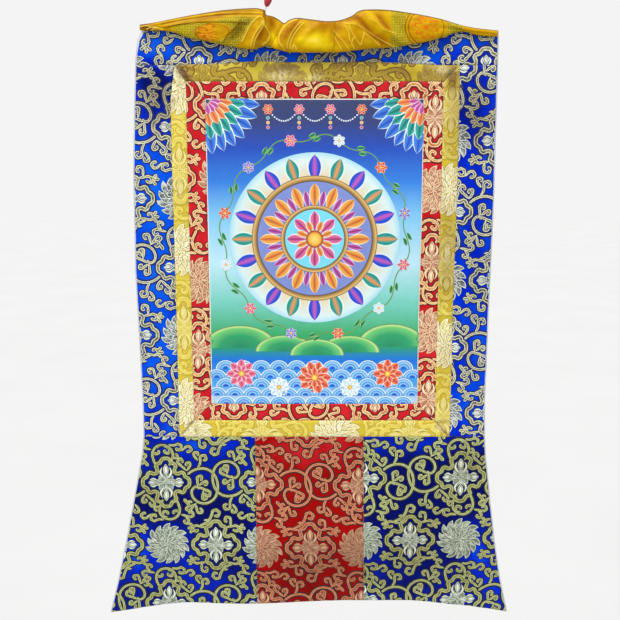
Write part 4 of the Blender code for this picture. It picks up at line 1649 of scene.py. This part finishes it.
# How far the silk's upper and lower edges lie above the solid's. The rolled edge ends in a step,
# the dip beside it is sharper, and the crests are a little lower.
TOP_STEP = table(
    Shift, 0,
    (-330, 0), (-305, -0.8), (-270, -2.2), (-200, -2.6), (-150, -2), (-110, -1.2), (-98, -0.4),
    (-95.5, 0.6), (-93.5, 0.2), (-91.8, -5.2), (-85, -2.3), (-76.1, 1), (-66, 0.2), (-57.5, -2.6),
    (-50, -1.2), (-40, -1.8), (30, -2), (57.3, -1.8), (70.4, -3.8), (82, -2.4), (99, -1.4),
    (142, -0.8), (200, 0), (350, 0),
)
BOTTOM_STEP = table(Shift, 0, (-330, 0), (-70, 0), (-50, -2.2), (40, -2), (70, 0), (140, -0.4),
                    (160, -1), (190, 0), (350, 0))
# The painted shade line along the veil's top edge reaches down this share of its height, where the
# silk curls over out of sight.
CREST_SHADE_SHARE = 0.025

# Folds in the silk along listed lines of (x, z). A ridge stands up on both sides of its
# line. A lap stands up on one side, to the left of the way the line runs if its side is 1, and
# falls off slowly over its reach.
Ridge = namedtuple("Ridge", "width height line")
Lap = namedtuple("Lap", "reach height side line marked", defaults=(True,))
# Thin ridges get a painted highlight line along their crest, and thin troughs a painted shade line.
MARKED_WIDTH = 0.0019
# A lap's steep side falls off within this. On its long side the painted shade line is so much
# finer.
LAP_ROUND = 0.0009
LAP_FADE = 2.5
RIDGES = table(
    Ridge, 1,
    # the rolled upper edge on the left
    (2.3, 1.2, (-300, 15, -262, 23.5, -199, 32.5, -139, 35.2, -100, 34)),
    (1.6, -1.3, (-306, 11.7, -267, 19.9, -199, 29.3, -139, 31.5, -97, 31)),
    (2.2, 1.2, (-298, 9.5, -255, 18, -187, 26.5, -133, 28.5, -99, 27.5)),
    (1.6, -1.3, (-288, 8.2, -242, 16.5, -175, 24.5, -127, 25.8, -100, 24.5)),
    # the first drop-shaped fold: its rim and the double line down its middle
    (1.8, 1.6, (-136.5, -24.5, -124.4, -1.1, -112.3, 15.2, -102, 21, -96, 16, -94, 6, -88, -3, -84,
        -12.8, -89, -23, -98.5, -30)),
    (1.2, 1.4, (-119.5, -33.9, -116.5, -20, -109, -6, -101, 4, -97.5, 12.5)),
    (1.2, 1.2, (-115, -34.5, -111.5, -21, -104, -8, -97.5, 2, -95.8, 11)),
    # the valley between the two drop-shaped folds
    (2.6, -2.2, (-56.9, 11.7, -64, -1, -71.3, -12.8, -80.9, -31.5)),
    # the second one
    (1.8, 1.6, (-56.9, -38.4, -67.7, -22, -65, -8, -56, 5, -44.8, 12.8, -33, 16.5)),
    (1.2, 1.4, (-52, -36.1, -50, -23, -43, -8, -33, 5, -25, 12.8)),
    (1.2, 1.2, (-47, -37, -45, -24, -38, -10, -28, 3, -20, 11)),
    (1.4, 1, (-42.5, -37, -39.5, -30, -36.5, -32, -34, -39)),
    # the zigzag of fine folds right of the middle
    (1.2, 1.3, (56.3, 4.8, 62.5, -5.5, 65.8, -23.8)),
    (1.2, 1.3, (64, 6, 66.5, -2, 74.8, -15.9, 85.5, -30, 88.5, -22.5, 92.4, -8.9)),
    (1.2, 1.2, (92.4, -8.9, 100, -15, 108.6, -20, 121.7, -31.8)),
    (1.5, 1.4, (54.5, 10.5, 77.1, 6.4, 97.4, -5.1, 121, -19.7, 144.6, -31, 154.6, -32.5)),
    (1.7, 1, (101.9, 17.3, 116.5, 9.4, 127.7, -2.1, 151.5, -10)),
    (1.3, 1.1, (35.7, -3.7, 43, -13, 54, -24, 64, -38)), (1.3, 1, (35.5, -15, 42, -24, 50, -38.5)),
    (1.3, 1, (74, -37, 69, -26, 73, -17)),
    # long soft diagonals on the right
    (5, 2.6, (96.4, 32.9, 106, 23, 114.2, 15.7, 134.4, 0.9, 149.5, -16.1, 156, -27)),
    (4, -1.8, (106, 33, 118, 23, 128, 15, 143, 2, 156, -12)),
    (4, -2.4, (83.9, 31.7, 73.7, 19, 63.1, 15, 50, 12)),
    # the plain middle
    (6, 1.8, (8.1, 8, -12, -6, -28, -24)), (7, -1.4, (26, 6, 18, -12, 20, -36)),
    # the right-hand tail
    (3, 1, (242, 8, 270, 3, 300, -2, 340, -6)), (3, -1, (235, 1, 265, -1, 300, -6, 338, -10)),
    # pinched folds at the left end
    (1.4, 1.8, (-328, 4, -318, 6, -308, 5)), (1.4, -1.4, (-323, 8, -314, 2)),
    (1.4, 1.4, (-316, 0, -306, 3, -296, 2)), (1.4, 1.2, (-308, -2, -298, 1, -285, -1)),
)
LAPS = table(
    Lap, 3,
    # the rolled edge lies over the printed part
    (7, 2.2, 1, (-278.6, 4, -255.4, 8.2, -221.6, 11.7, -190.3, 12.5, -156.7, 12.2, -127.8, 9.3)),
    # the flap beside the left roundel
    (10, 1.8, -1, (-142, 10, -150, 0, -164, -12, -172, -24)),
    # the fold that starts the right half
    (12, 2.2, -1, (36.2, 19, 35.2, 6, 36.8, -5, 33.8, -15, 35.2, -27, 33, -42), False),
)
VEIL_TONE = 0.48
# The painted highlights and shade and the print come in over these shares of the section.
TONES_START, TONES_FADE = 0.16, 0.10
# Painted highlights and painted shade on the veil's folds.
VEIL_PAINTED_LIGHT = table(
    Spot, 2,
    # x, z, long, wide, angle, tone; z is a height here, so the angle turns upwards
    (-200, 33, 110, 2.8, 8, 0.05), (-205, 18.5, 70, 3.5, 9, -0.25), (-225, 27.5, 60, 3, 9, -0.12),
    (-94.5, 30, 8, 2.2, 84, -0.55), (-144, -1, 18, 11, 46, -0.34), (-156, -16, 14, 6, 44, -0.14),
    (-128, 11, 14, 5, 16, -0.22), (-204, -6, 18, 9, 0, -0.1), (-119, -6, 22, 6, 62, -0.08),
    (-101, -9, 20, 6, 66, -0.28), (-89, -12, 16, 4, 74, -0.12), (-81, 10, 14, 6, 105, -0.26),
    (-75, -20, 18, 5.5, 112, 0.28), (-56, -12, 22, 6, 60, -0.22), (-40, 3, 20, 7, 60, -0.24),
    (-30, -24, 14, 10, 40, 0.12), (-2, -18, 26, 10, 12, 0.3), (12, -30, 24, 10, 0, 0.26),
    (18, 7, 22, 9, 0, -0.26), (31, -2, 5, 15, 0, -0.1), (44, 6, 10, 12, 0, -0.14),
    (70, 18.5, 20, 6, 20, -0.18), (92, 6, 24, 5, -48, -0.3), (60, -22, 26, 12, 0, -0.06),
    (112, 20, 24, 5, -44, 0.12), (128, 9, 24, 4.5, -48, -0.32), (118, -18, 30, 6, -30, -0.28),
    (140, 20, 12, 12, -50, 0.1), (300, -5, 70, 8, -10, -0.05), (-322, 6, 12, 6, 0, -0.4),
    (-308, 2, 12, 5, 0, -0.3),
)


def veil_reader():
    """The section and the outlines of the veil as smooth functions."""
    steps = np.linspace(0, 1, len(VEIL_SECTION))
    height, depth = zip(*VEIL_SECTION)
    places, tops, bottoms, reach = zip(*VEIL)
    top, top_step = eased(places, tops), eased_rows(TOP_STEP)
    bottom, bottom_step = eased(places, bottoms), eased_rows(BOTTOM_STEP)
    return {
        "height": eased(steps, height),
        "depth": eased(steps, depth),
        "top": lambda x: top(x) + top_step(x),
        "bottom": lambda x: bottom(x) + bottom_step(x),
        "reach": eased(places, reach),
    }


def fold_height(x, z):
    """How far the broad ridges and troughs bring the veil's front forward here."""
    total = np.zeros(np.shape(x))
    for fold in VEIL_FOLDS:
        across = (x - fold.x - fold.lean * z) / fold.width
        total += fold.height * np.exp(-across * across)
    return total


def from_line(x, z, line):
    """Distance to a line of points, and which side of it: above 0 is left of its run."""
    best = np.full(np.shape(x), 1e9)
    side = np.zeros(np.shape(x))
    for (ax, az), (bx, bz) in zip(line, line[1:]):
        dx, dz = bx - ax, bz - az
        share = np.clip(((x - ax) * dx + (z - az) * dz) / (dx * dx + dz * dz), 0, 1)
        off_x, off_z = x - ax - share * dx, z - az - share * dz
        distance = np.hypot(off_x, off_z)
        nearer = distance < best
        best = np.where(nearer, distance, best)
        side = np.where(nearer, np.sign(dx * off_z - dz * off_x), side)
    return best, side


def fine_folds(x, z):
    """The silk's ridges and laps, and how far the nearest painted highlight and shade lines are."""
    total = np.zeros(np.shape(x))
    bright, dark = np.full(np.shape(x), 9.0), np.full(np.shape(x), 9.0)
    for ridge in RIDGES:
        distance, _ = from_line(x, z, smooth_line(ridge.line))
        total += ridge.height * np.exp(-((distance / ridge.width) ** 2))
        if ridge.width < MARKED_WIDTH and ridge.height > 0:
            bright = np.minimum(bright, distance / MM)
        elif ridge.width < MARKED_WIDTH:
            dark = np.minimum(dark, distance / MM)
    for lap in LAPS:
        distance, side = from_line(x, z, smooth_line(lap.line))
        over = side * lap.side > 0
        total += lap.height * np.where(over, np.exp(-distance / lap.reach),
                                       np.exp(-((distance / LAP_ROUND) ** 2)))
        if lap.marked:
            dark = np.minimum(dark, np.where(over, distance * LAP_FADE, distance) / MM)
    return total, bright, dark


def smooth_line(line):
    """A finer line through the points, whose x and z come by turns in millimetres."""
    rows = np.array(line).reshape(-1, 2) * MM
    steps = np.linspace(0, 1, len(rows))
    shares = np.linspace(0, 1, 4 * (len(rows) - 1) + 1)
    return np.stack([eased(steps, rows[:, k])(shares) for k in range(2)], 1)


# The printed bands: where the fret lies along the veil, and the roundels within it.
Roundel = namedtuple("Roundel", "x z across up turn")
ROUNDELS = table(Roundel, 1, (-190, -5.8, 30, 13.8, 3), (208, 2, 34.5, 32, -12))
Print = namedtuple("Print", "start end lean")
PRINTS = table(Print, 1, (-264, -122, 0.75), (142.5, 276, 0))
PRINT_SIDE_FADE = 0.003
PRINT_TOP_FADE = 0.002
PRINT_TOP = table(Shift, 0, (-300, 0), (-278.6, 4), (-255.4, 8.2), (-221.6, 11.2), (-190.3, 12.2),
                  (-170, 19.5), (-130, 21.5), (-108, 18), (-80, 10), (100, 80))


def print_zone(x, z):
    """How strongly the fret is printed here."""
    zone = np.zeros(np.shape(x))
    for band in PRINTS:
        inside = np.minimum(x - band.start, band.end - x + band.lean * z)
        zone = np.maximum(zone, smooth(inside / PRINT_SIDE_FADE + 0.5))
    return zone * smooth((eased_rows(PRINT_TOP)(x) - z) / PRINT_TOP_FADE + 0.5)


def roundel_place(x, z):
    """Place within the nearest roundel, in its own radii."""
    best = np.full((2, *np.shape(x)), 9.0)
    for roundel in ROUNDELS:
        along, across = turned(x - roundel.x, z - roundel.z, roundel.turn)
        here = np.stack([along / roundel.across, across / roundel.up])
        best = np.where(np.hypot(*here) < np.hypot(*best), here, best)
    return best


def veil_points(u, v, read):
    """The veil's surface, as in its solid, with the fine folds added to its front, and how far its
    points lie from the painted lines.
    """
    x = blend(VEIL[0].x, VEIL[-1].x, u)
    height, depth = read["height"](v), read["depth"](v)
    z = blend(read["bottom"](x) + SILK / 2, read["top"](x) - SILK / 2, height)
    seat = BROCADE / 2 + VEIL_GAP + SILK / 2
    share = np.maximum(0.0, depth - FRONT_DEPTH) / (1 - FRONT_DEPTH)
    outer = smooth((FRONT_ENDS - v) / FRONT_FADE)
    fine, bright, dark = fine_folds(x, z)
    front = (fold_height(x, z) + fine * outer) * share
    forward = seat + read["reach"](x) * depth + front
    tall = read["top"](x) - read["bottom"](x)
    # The hem value: how far in millimetres a point lies below the painted shade line along the top
    # edge.
    hem = np.where(v > FRONT_STARTS, (read["top"](x) - z - CREST_SHADE_SHARE * tall) / MM, 9.0)
    lines = {"bright": bright, "dark": dark, "hem": hem}
    return x, stand_off(x, -z) - forward, z, lines


# Painted highlight and shade lines along the folds, and a painted shade line along the top edge:
# from how near and to how far in millimetres, how strong, and the colour.
VEIL_LINES = {"dark": (0.4, 1.7, 0.62, (112, 62, 0)), "bright": (0.3, 1.4, 0.60, (248, 218, 84)),
              "hem": (0.8, 2.4, 0.85, (84, 40, 0))}
FRET_PITCH = 0.0030


def veil_material():
    """Printed yellow satin: golden, with painted shade towards orange and brown and painted
    highlights towards pale yellow, a green fret and roundels, and painted lines of highlight and
    shade along its folds.
    """
    n = Nodes("yellow_satin")
    drift = n.noise(45.0, 3.0, (1.0, 1.0, 1.6))
    tone = n.value("painted_light") + (drift - 0.5) * 0.5
    # The silk's gold, from painted shade in brown and orange to painted highlight in pale yellow.
    ground = n.ramp(tone, {0.0: (92, 52, 0), 0.25: (162, 101, 0), 0.50: (196, 150, 2),
                           0.76: (230, 197, 14), 1.0: (250, 232, 100)})
    worn = n.step(n.noise(330.0, 2.0), 0.40, 0.60)
    fret = n.mix(fret_lines(n), n.mix(worn, (190, 176, 24), (222, 206, 70)), (84, 88, 4))
    shade = n.ramp(tone, {0.0: (0.22, 0.20, 0.16), 0.5: (1.0, 1.0, 1.0)}, shown=False)
    fret = n.mix(1.0, n.mix(0.22, fret, ground), shade, "MULTIPLY")
    colour = n.mix(n.value("fret") * 0.92, ground, fret)
    colour = roundel_colour(n, colour, ground)
    for name, (near, far, share, line) in VEIL_LINES.items():
        colour = n.mix((1.0 - n.step(n.value(name), near, far)) * share, colour, line)
    weave = n.lines(0.0006, 84, 0.6)
    return n.finish(colour, 0.34 + drift * 0.14, weave, 0.00006, specular=0.24,
                    tint=(1.0, 0.74, 0.12))


def fret_lines(n):
    """A key fret: small squares of lines that run level and upright by turns."""
    level, upright = (n.step(n.lines(FRET_PITCH, degrees), 0.42, 0.58) for degrees in (90, 0))
    checker = n.new("ShaderNodeTexChecker")
    n.join(n.scaled((1.0, 0.0, 1.0)), checker.inputs["Vector"])
    checker.inputs["Scale"].default_value = 1 / (2 * FRET_PITCH)
    choice = n.new("ShaderNodeMix", data_type="FLOAT")
    for source, key in ((n.out(checker, "Fac"), "Factor"), (level, 2), (upright, 3)):
        n.join(source, choice.inputs[key])
    return n.out(choice, 0)


def roundel_colour(n, colour, ground):
    """The roundels: two outlines, a generic flower where the silk lies flat enough, and elsewhere
    their orange print with painted shade and highlights on its crumples.
    """
    a, b, flat = n.value("round_a"), n.value("round_b"), n.value("round_flat")
    radius = n.math("SQRT", a * a + b * b)
    petals = n.math("ABSOLUTE", n.math("COSINE", n.math("ARCTAN2", b, a) * 4.0))
    from_petal = n.math("ABSOLUTE", radius - (0.30 + petals * 0.34))
    crumpled_print_shade = n.ramp(n.noise(150.0, 3.0, (0.5, 1.0, 1.4)),
                     {0.34: (120, 66, 0), 0.46: (200, 122, 4), 0.60: (222, 162, 24),
                      0.68: (196, 96, 6)})
    plain = n.math("MAXIMUM", flat * 0.65, n.step(a, 0.05, 0.30))
    colour = n.mix(1.0 - n.step(radius, 1.15, 1.19), colour, n.mix(plain, crumpled_print_shade, ground))
    left = n.step(0.0 - a, -0.2, 0.4)
    for centre, half, share in ((1.14, 0.035, left), (0.97, 0.032, 1.0)):
        gap = n.math("ABSOLUTE", radius - centre)
        line = (1.0 - n.step(gap, half * 0.5, half)) * share * 0.85
        colour = n.mix(line, colour, (116, 74, 4))
    line, heart = 1.0 - n.step(from_petal, 0.035, 0.075), 1.0 - n.step(radius, 0.10, 0.15)
    flower = n.math("MAXIMUM", line, heart) * flat
    return n.mix(flower * 0.85, colour, (218, 92, 16))


def add_veil():
    """The yellow silk gathered over the top edge."""
    rows = np.concatenate([np.linspace(a, b, count, endpoint=False) for a, b, count in VEIL_ROWS])
    u, v = np.meshgrid(np.linspace(0, 1, VEIL_CELLS + 1), np.append(rows, 1.0))
    x, y, z, values = veil_points(u, v, veil_reader())
    front = smooth((v - TONES_START) / TONES_FADE)
    values["painted_light"] = VEIL_TONE + front * spot_tone(VEIL_PAINTED_LIGHT, x, z)
    values["fret"] = print_zone(x, z) * front
    values["round_a"], values["round_b"] = roundel_place(x, z)
    values["round_flat"] = (x > 0).astype(float)
    faces = grid_faces(*x.shape)[:, ::-1]
    veil = new_piece("veil_silk", np.stack([x, y, z], -1), faces, veil_material(), values)
    thicken(veil, VEIL_SHEET)
    settle("silk", veil)
    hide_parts("veil")


# ---------------------------------------------------------------------------------------------
# The hanging cord.

# The loop starts this far round from its foot, in radians.
LOOP_START = 0.42
LOOP_POINTS = 33
LOOP_FULLNESS = 0.65
# The way from the loop's end into the knot.
LOOP_TUCK = (0.0002, 0.0, -0.003)
KNOT_ROWS, KNOT_COLUMNS = 64, 48
KNOT_WRAPS = 5.5
KNOT_GROOVE = 0.0005
KNOT_FULLNESS = 0.38
# The drop hangs a little lower and fuller than its solid, and is widest above its middle.
KNOT_LOWER = 0.0036
KNOT_WIDER = 0.0005
KNOT_SLANT = 0.72


def knot_top():
    x, y, z = KNOT_TIP
    aside, up = turned(0.0, KNOT_HEIGHT, KNOT_LEAN)
    return x + aside, y, z + up


def loop_points():
    """A drop-shaped loop whose two ends stand side by side on the knot."""
    x, y, z = knot_top()
    low = LOOP_HEIGHT * (1.0 - math.cos(LOOP_START)) / 2
    points = []
    for turn in np.linspace(LOOP_START, 2 * math.pi - LOOP_START, LOOP_POINTS):
        across = LOOP_FULLNESS * LOOP_WIDTH * math.sin(turn) * math.sin(turn / 2)
        up = LOOP_HEIGHT * (1.0 - math.cos(turn)) / 2 - low
        points.append((x - across, y, z + TOUCH + up))
    return points


def thread_foot():
    """The crest of the veil's solid under the knot."""
    section = [layer.height for layer in VEIL_SECTION]
    crest = section.index(max(section))
    x = blend(VEIL[0].x, VEIL[-1].x, THREAD_STEP / VEIL_STEPS)
    top, reach = (reading(VEIL, "x", column)(x) for column in ("top", "depth"))
    forward = BROCADE / 2 + VEIL_GAP + SILK / 2 + reach * VEIL_SECTION[crest].depth
    return float(x), float(stand_off(x, -top) - forward), float(top + THREAD_CLEARS)


def cord_route():
    """Up from the veil, through the knot, and round the loop back into the knot."""
    foot, tip, top = thread_foot(), KNOT_TIP, knot_top()
    loop = loop_points()
    rise = [tuple(blend(a, b, share) for a, b in zip(foot, tip)) for share in (0, 0.33, 0.67)]
    within = [tuple(blend(a, b, share) for a, b in zip(tip, top)) for share in (0.05, 0.35, 0.65)]
    end = tuple(a + b for a, b in zip(loop[-1], LOOP_TUCK))
    return rise + within + loop + [end]


def add_cord():
    route = cord_route()
    curve = bpy.data.curves.new("hanging_cord", "CURVE")
    curve.dimensions = "3D"
    curve.bevel_depth = CORD_DIAMETER / 2
    curve.bevel_resolution = 3
    curve.use_fill_caps = True
    spline = curve.splines.new("POLY")
    spline.points.add(len(route) - 1)
    for point, place in zip(spline.points, route):
        point.co = (*place, 1.0)
    material = cord_material()
    curve.materials.append(material)
    cord, knot = placed("hanging_cord", curve), add_knot(material)
    settle("cord", cord, knot)
    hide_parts("hanging_thread", "hanging_loop")
    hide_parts("hanging_knot")


def add_knot(material):
    """A drop-shaped knot with the cord's turns around it."""
    share, angle = np.meshgrid(np.linspace(0, 1, KNOT_ROWS),
                               np.linspace(0, 2 * math.pi, KNOT_COLUMNS), indexing="ij")
    radius = (KNOT_RADIUS + KNOT_WIDER) * np.sin(math.pi * share**KNOT_SLANT) ** KNOT_FULLNESS
    groove = 1 - np.abs(np.sin(2 * math.pi * KNOT_WRAPS * share + angle)) ** 0.6
    fade = np.minimum(1, 8 * share * (1 - share))
    radius = np.maximum(0.0, radius - KNOT_GROOVE * groove * fade)
    radius[0] = radius[-1] = 0.0
    x, z = turned(radius * np.cos(angle), KNOT_HEIGHT * (1 - share), KNOT_LEAN)
    points = np.stack([x, radius * np.sin(angle), z - KNOT_LOWER], -1) + np.array(KNOT_TIP)
    knot = new_piece("cord_knot", points, grid_faces(KNOT_ROWS, KNOT_COLUMNS), material)
    with editing(knot.data) as mesh:
        bmesh.ops.remove_doubles(mesh, verts=mesh.verts, dist=1e-6)
        bmesh.ops.recalc_face_normals(mesh, faces=mesh.faces)
    return knot


# ---------------------------------------------------------------------------------------------
# Stage.

CLIP_NEAR, CLIP_FAR = 0.05, 200.0


def add_camera():
    data = bpy.data.cameras.new("camera")
    data.lens = CAMERA_LENS
    data.sensor_width = SENSOR
    data.clip_start, data.clip_end = CLIP_NEAR, CLIP_FAR
    bpy.context.scene.camera = placed("camera", data, location=CAMERA_PLACE,
                                      rotation_euler=(CAMERA_PITCH, 0.0, 0.0))


def add_sun():
    data = bpy.data.lights.new("sun", "SUN")
    data.energy = SUN_STRENGTH
    data.angle = SUN_SOFTNESS
    placed("sun", data, rotation_euler=(math.pi / 2 - SUN_ELEVATION, 0.0, SUN_AZIMUTH))


def add_world():
    """An even pale studio: flat to the camera, a little brighter overhead for the cloth."""
    world = bpy.data.worlds.new("studio")
    bpy.context.scene.world = world
    n = Nodes("studio", world)
    facing = n.new("ShaderNodeVectorMath", operation="DOT_PRODUCT")
    facing.inputs[1].default_value = STUDIO_BRIGHT
    n.join(n.place("Generated"), facing.inputs[0])
    light = n.ramp(n.out(facing, "Value"), STUDIO, shown=False)
    seen = n.out(n.new("ShaderNodeLightPath"), "Is Camera Ray")
    colour = n.mix(seen, light, (*BACKGROUND, 1.0))
    n.join(colour, n.tree.nodes["Background"].inputs["Color"])


def add_floor():
    data = bpy.data.meshes.new("floor")
    with editing(data) as mesh:
        bmesh.ops.create_grid(mesh, x_segments=1, y_segments=1, size=FLOOR_SIZE / 2)
    n = Nodes("pale_floor")
    mottle = n.noise(1.3, 3.0)
    colour = n.ramp(mottle, {0.2: FLOOR_DARK, 0.8: FLOOR_PALE}, shown=False)
    data.materials.append(n.finish(colour, 0.9, mottle, 0.001, specular=0.0))
    placed("floor", data, location=(0.0, 0.0, FLOOR_Z))


def main():
    bpy.context.scene.view_settings.view_transform = "Standard"
    add_camera()
    add_cord()
    outlines = brocade_outlines()
    add_panels(outlines)
    add_picture(outlines["picture_panel"])
    add_lining()
    add_veil()
    add_world()
    add_sun()
    add_floor()


main()
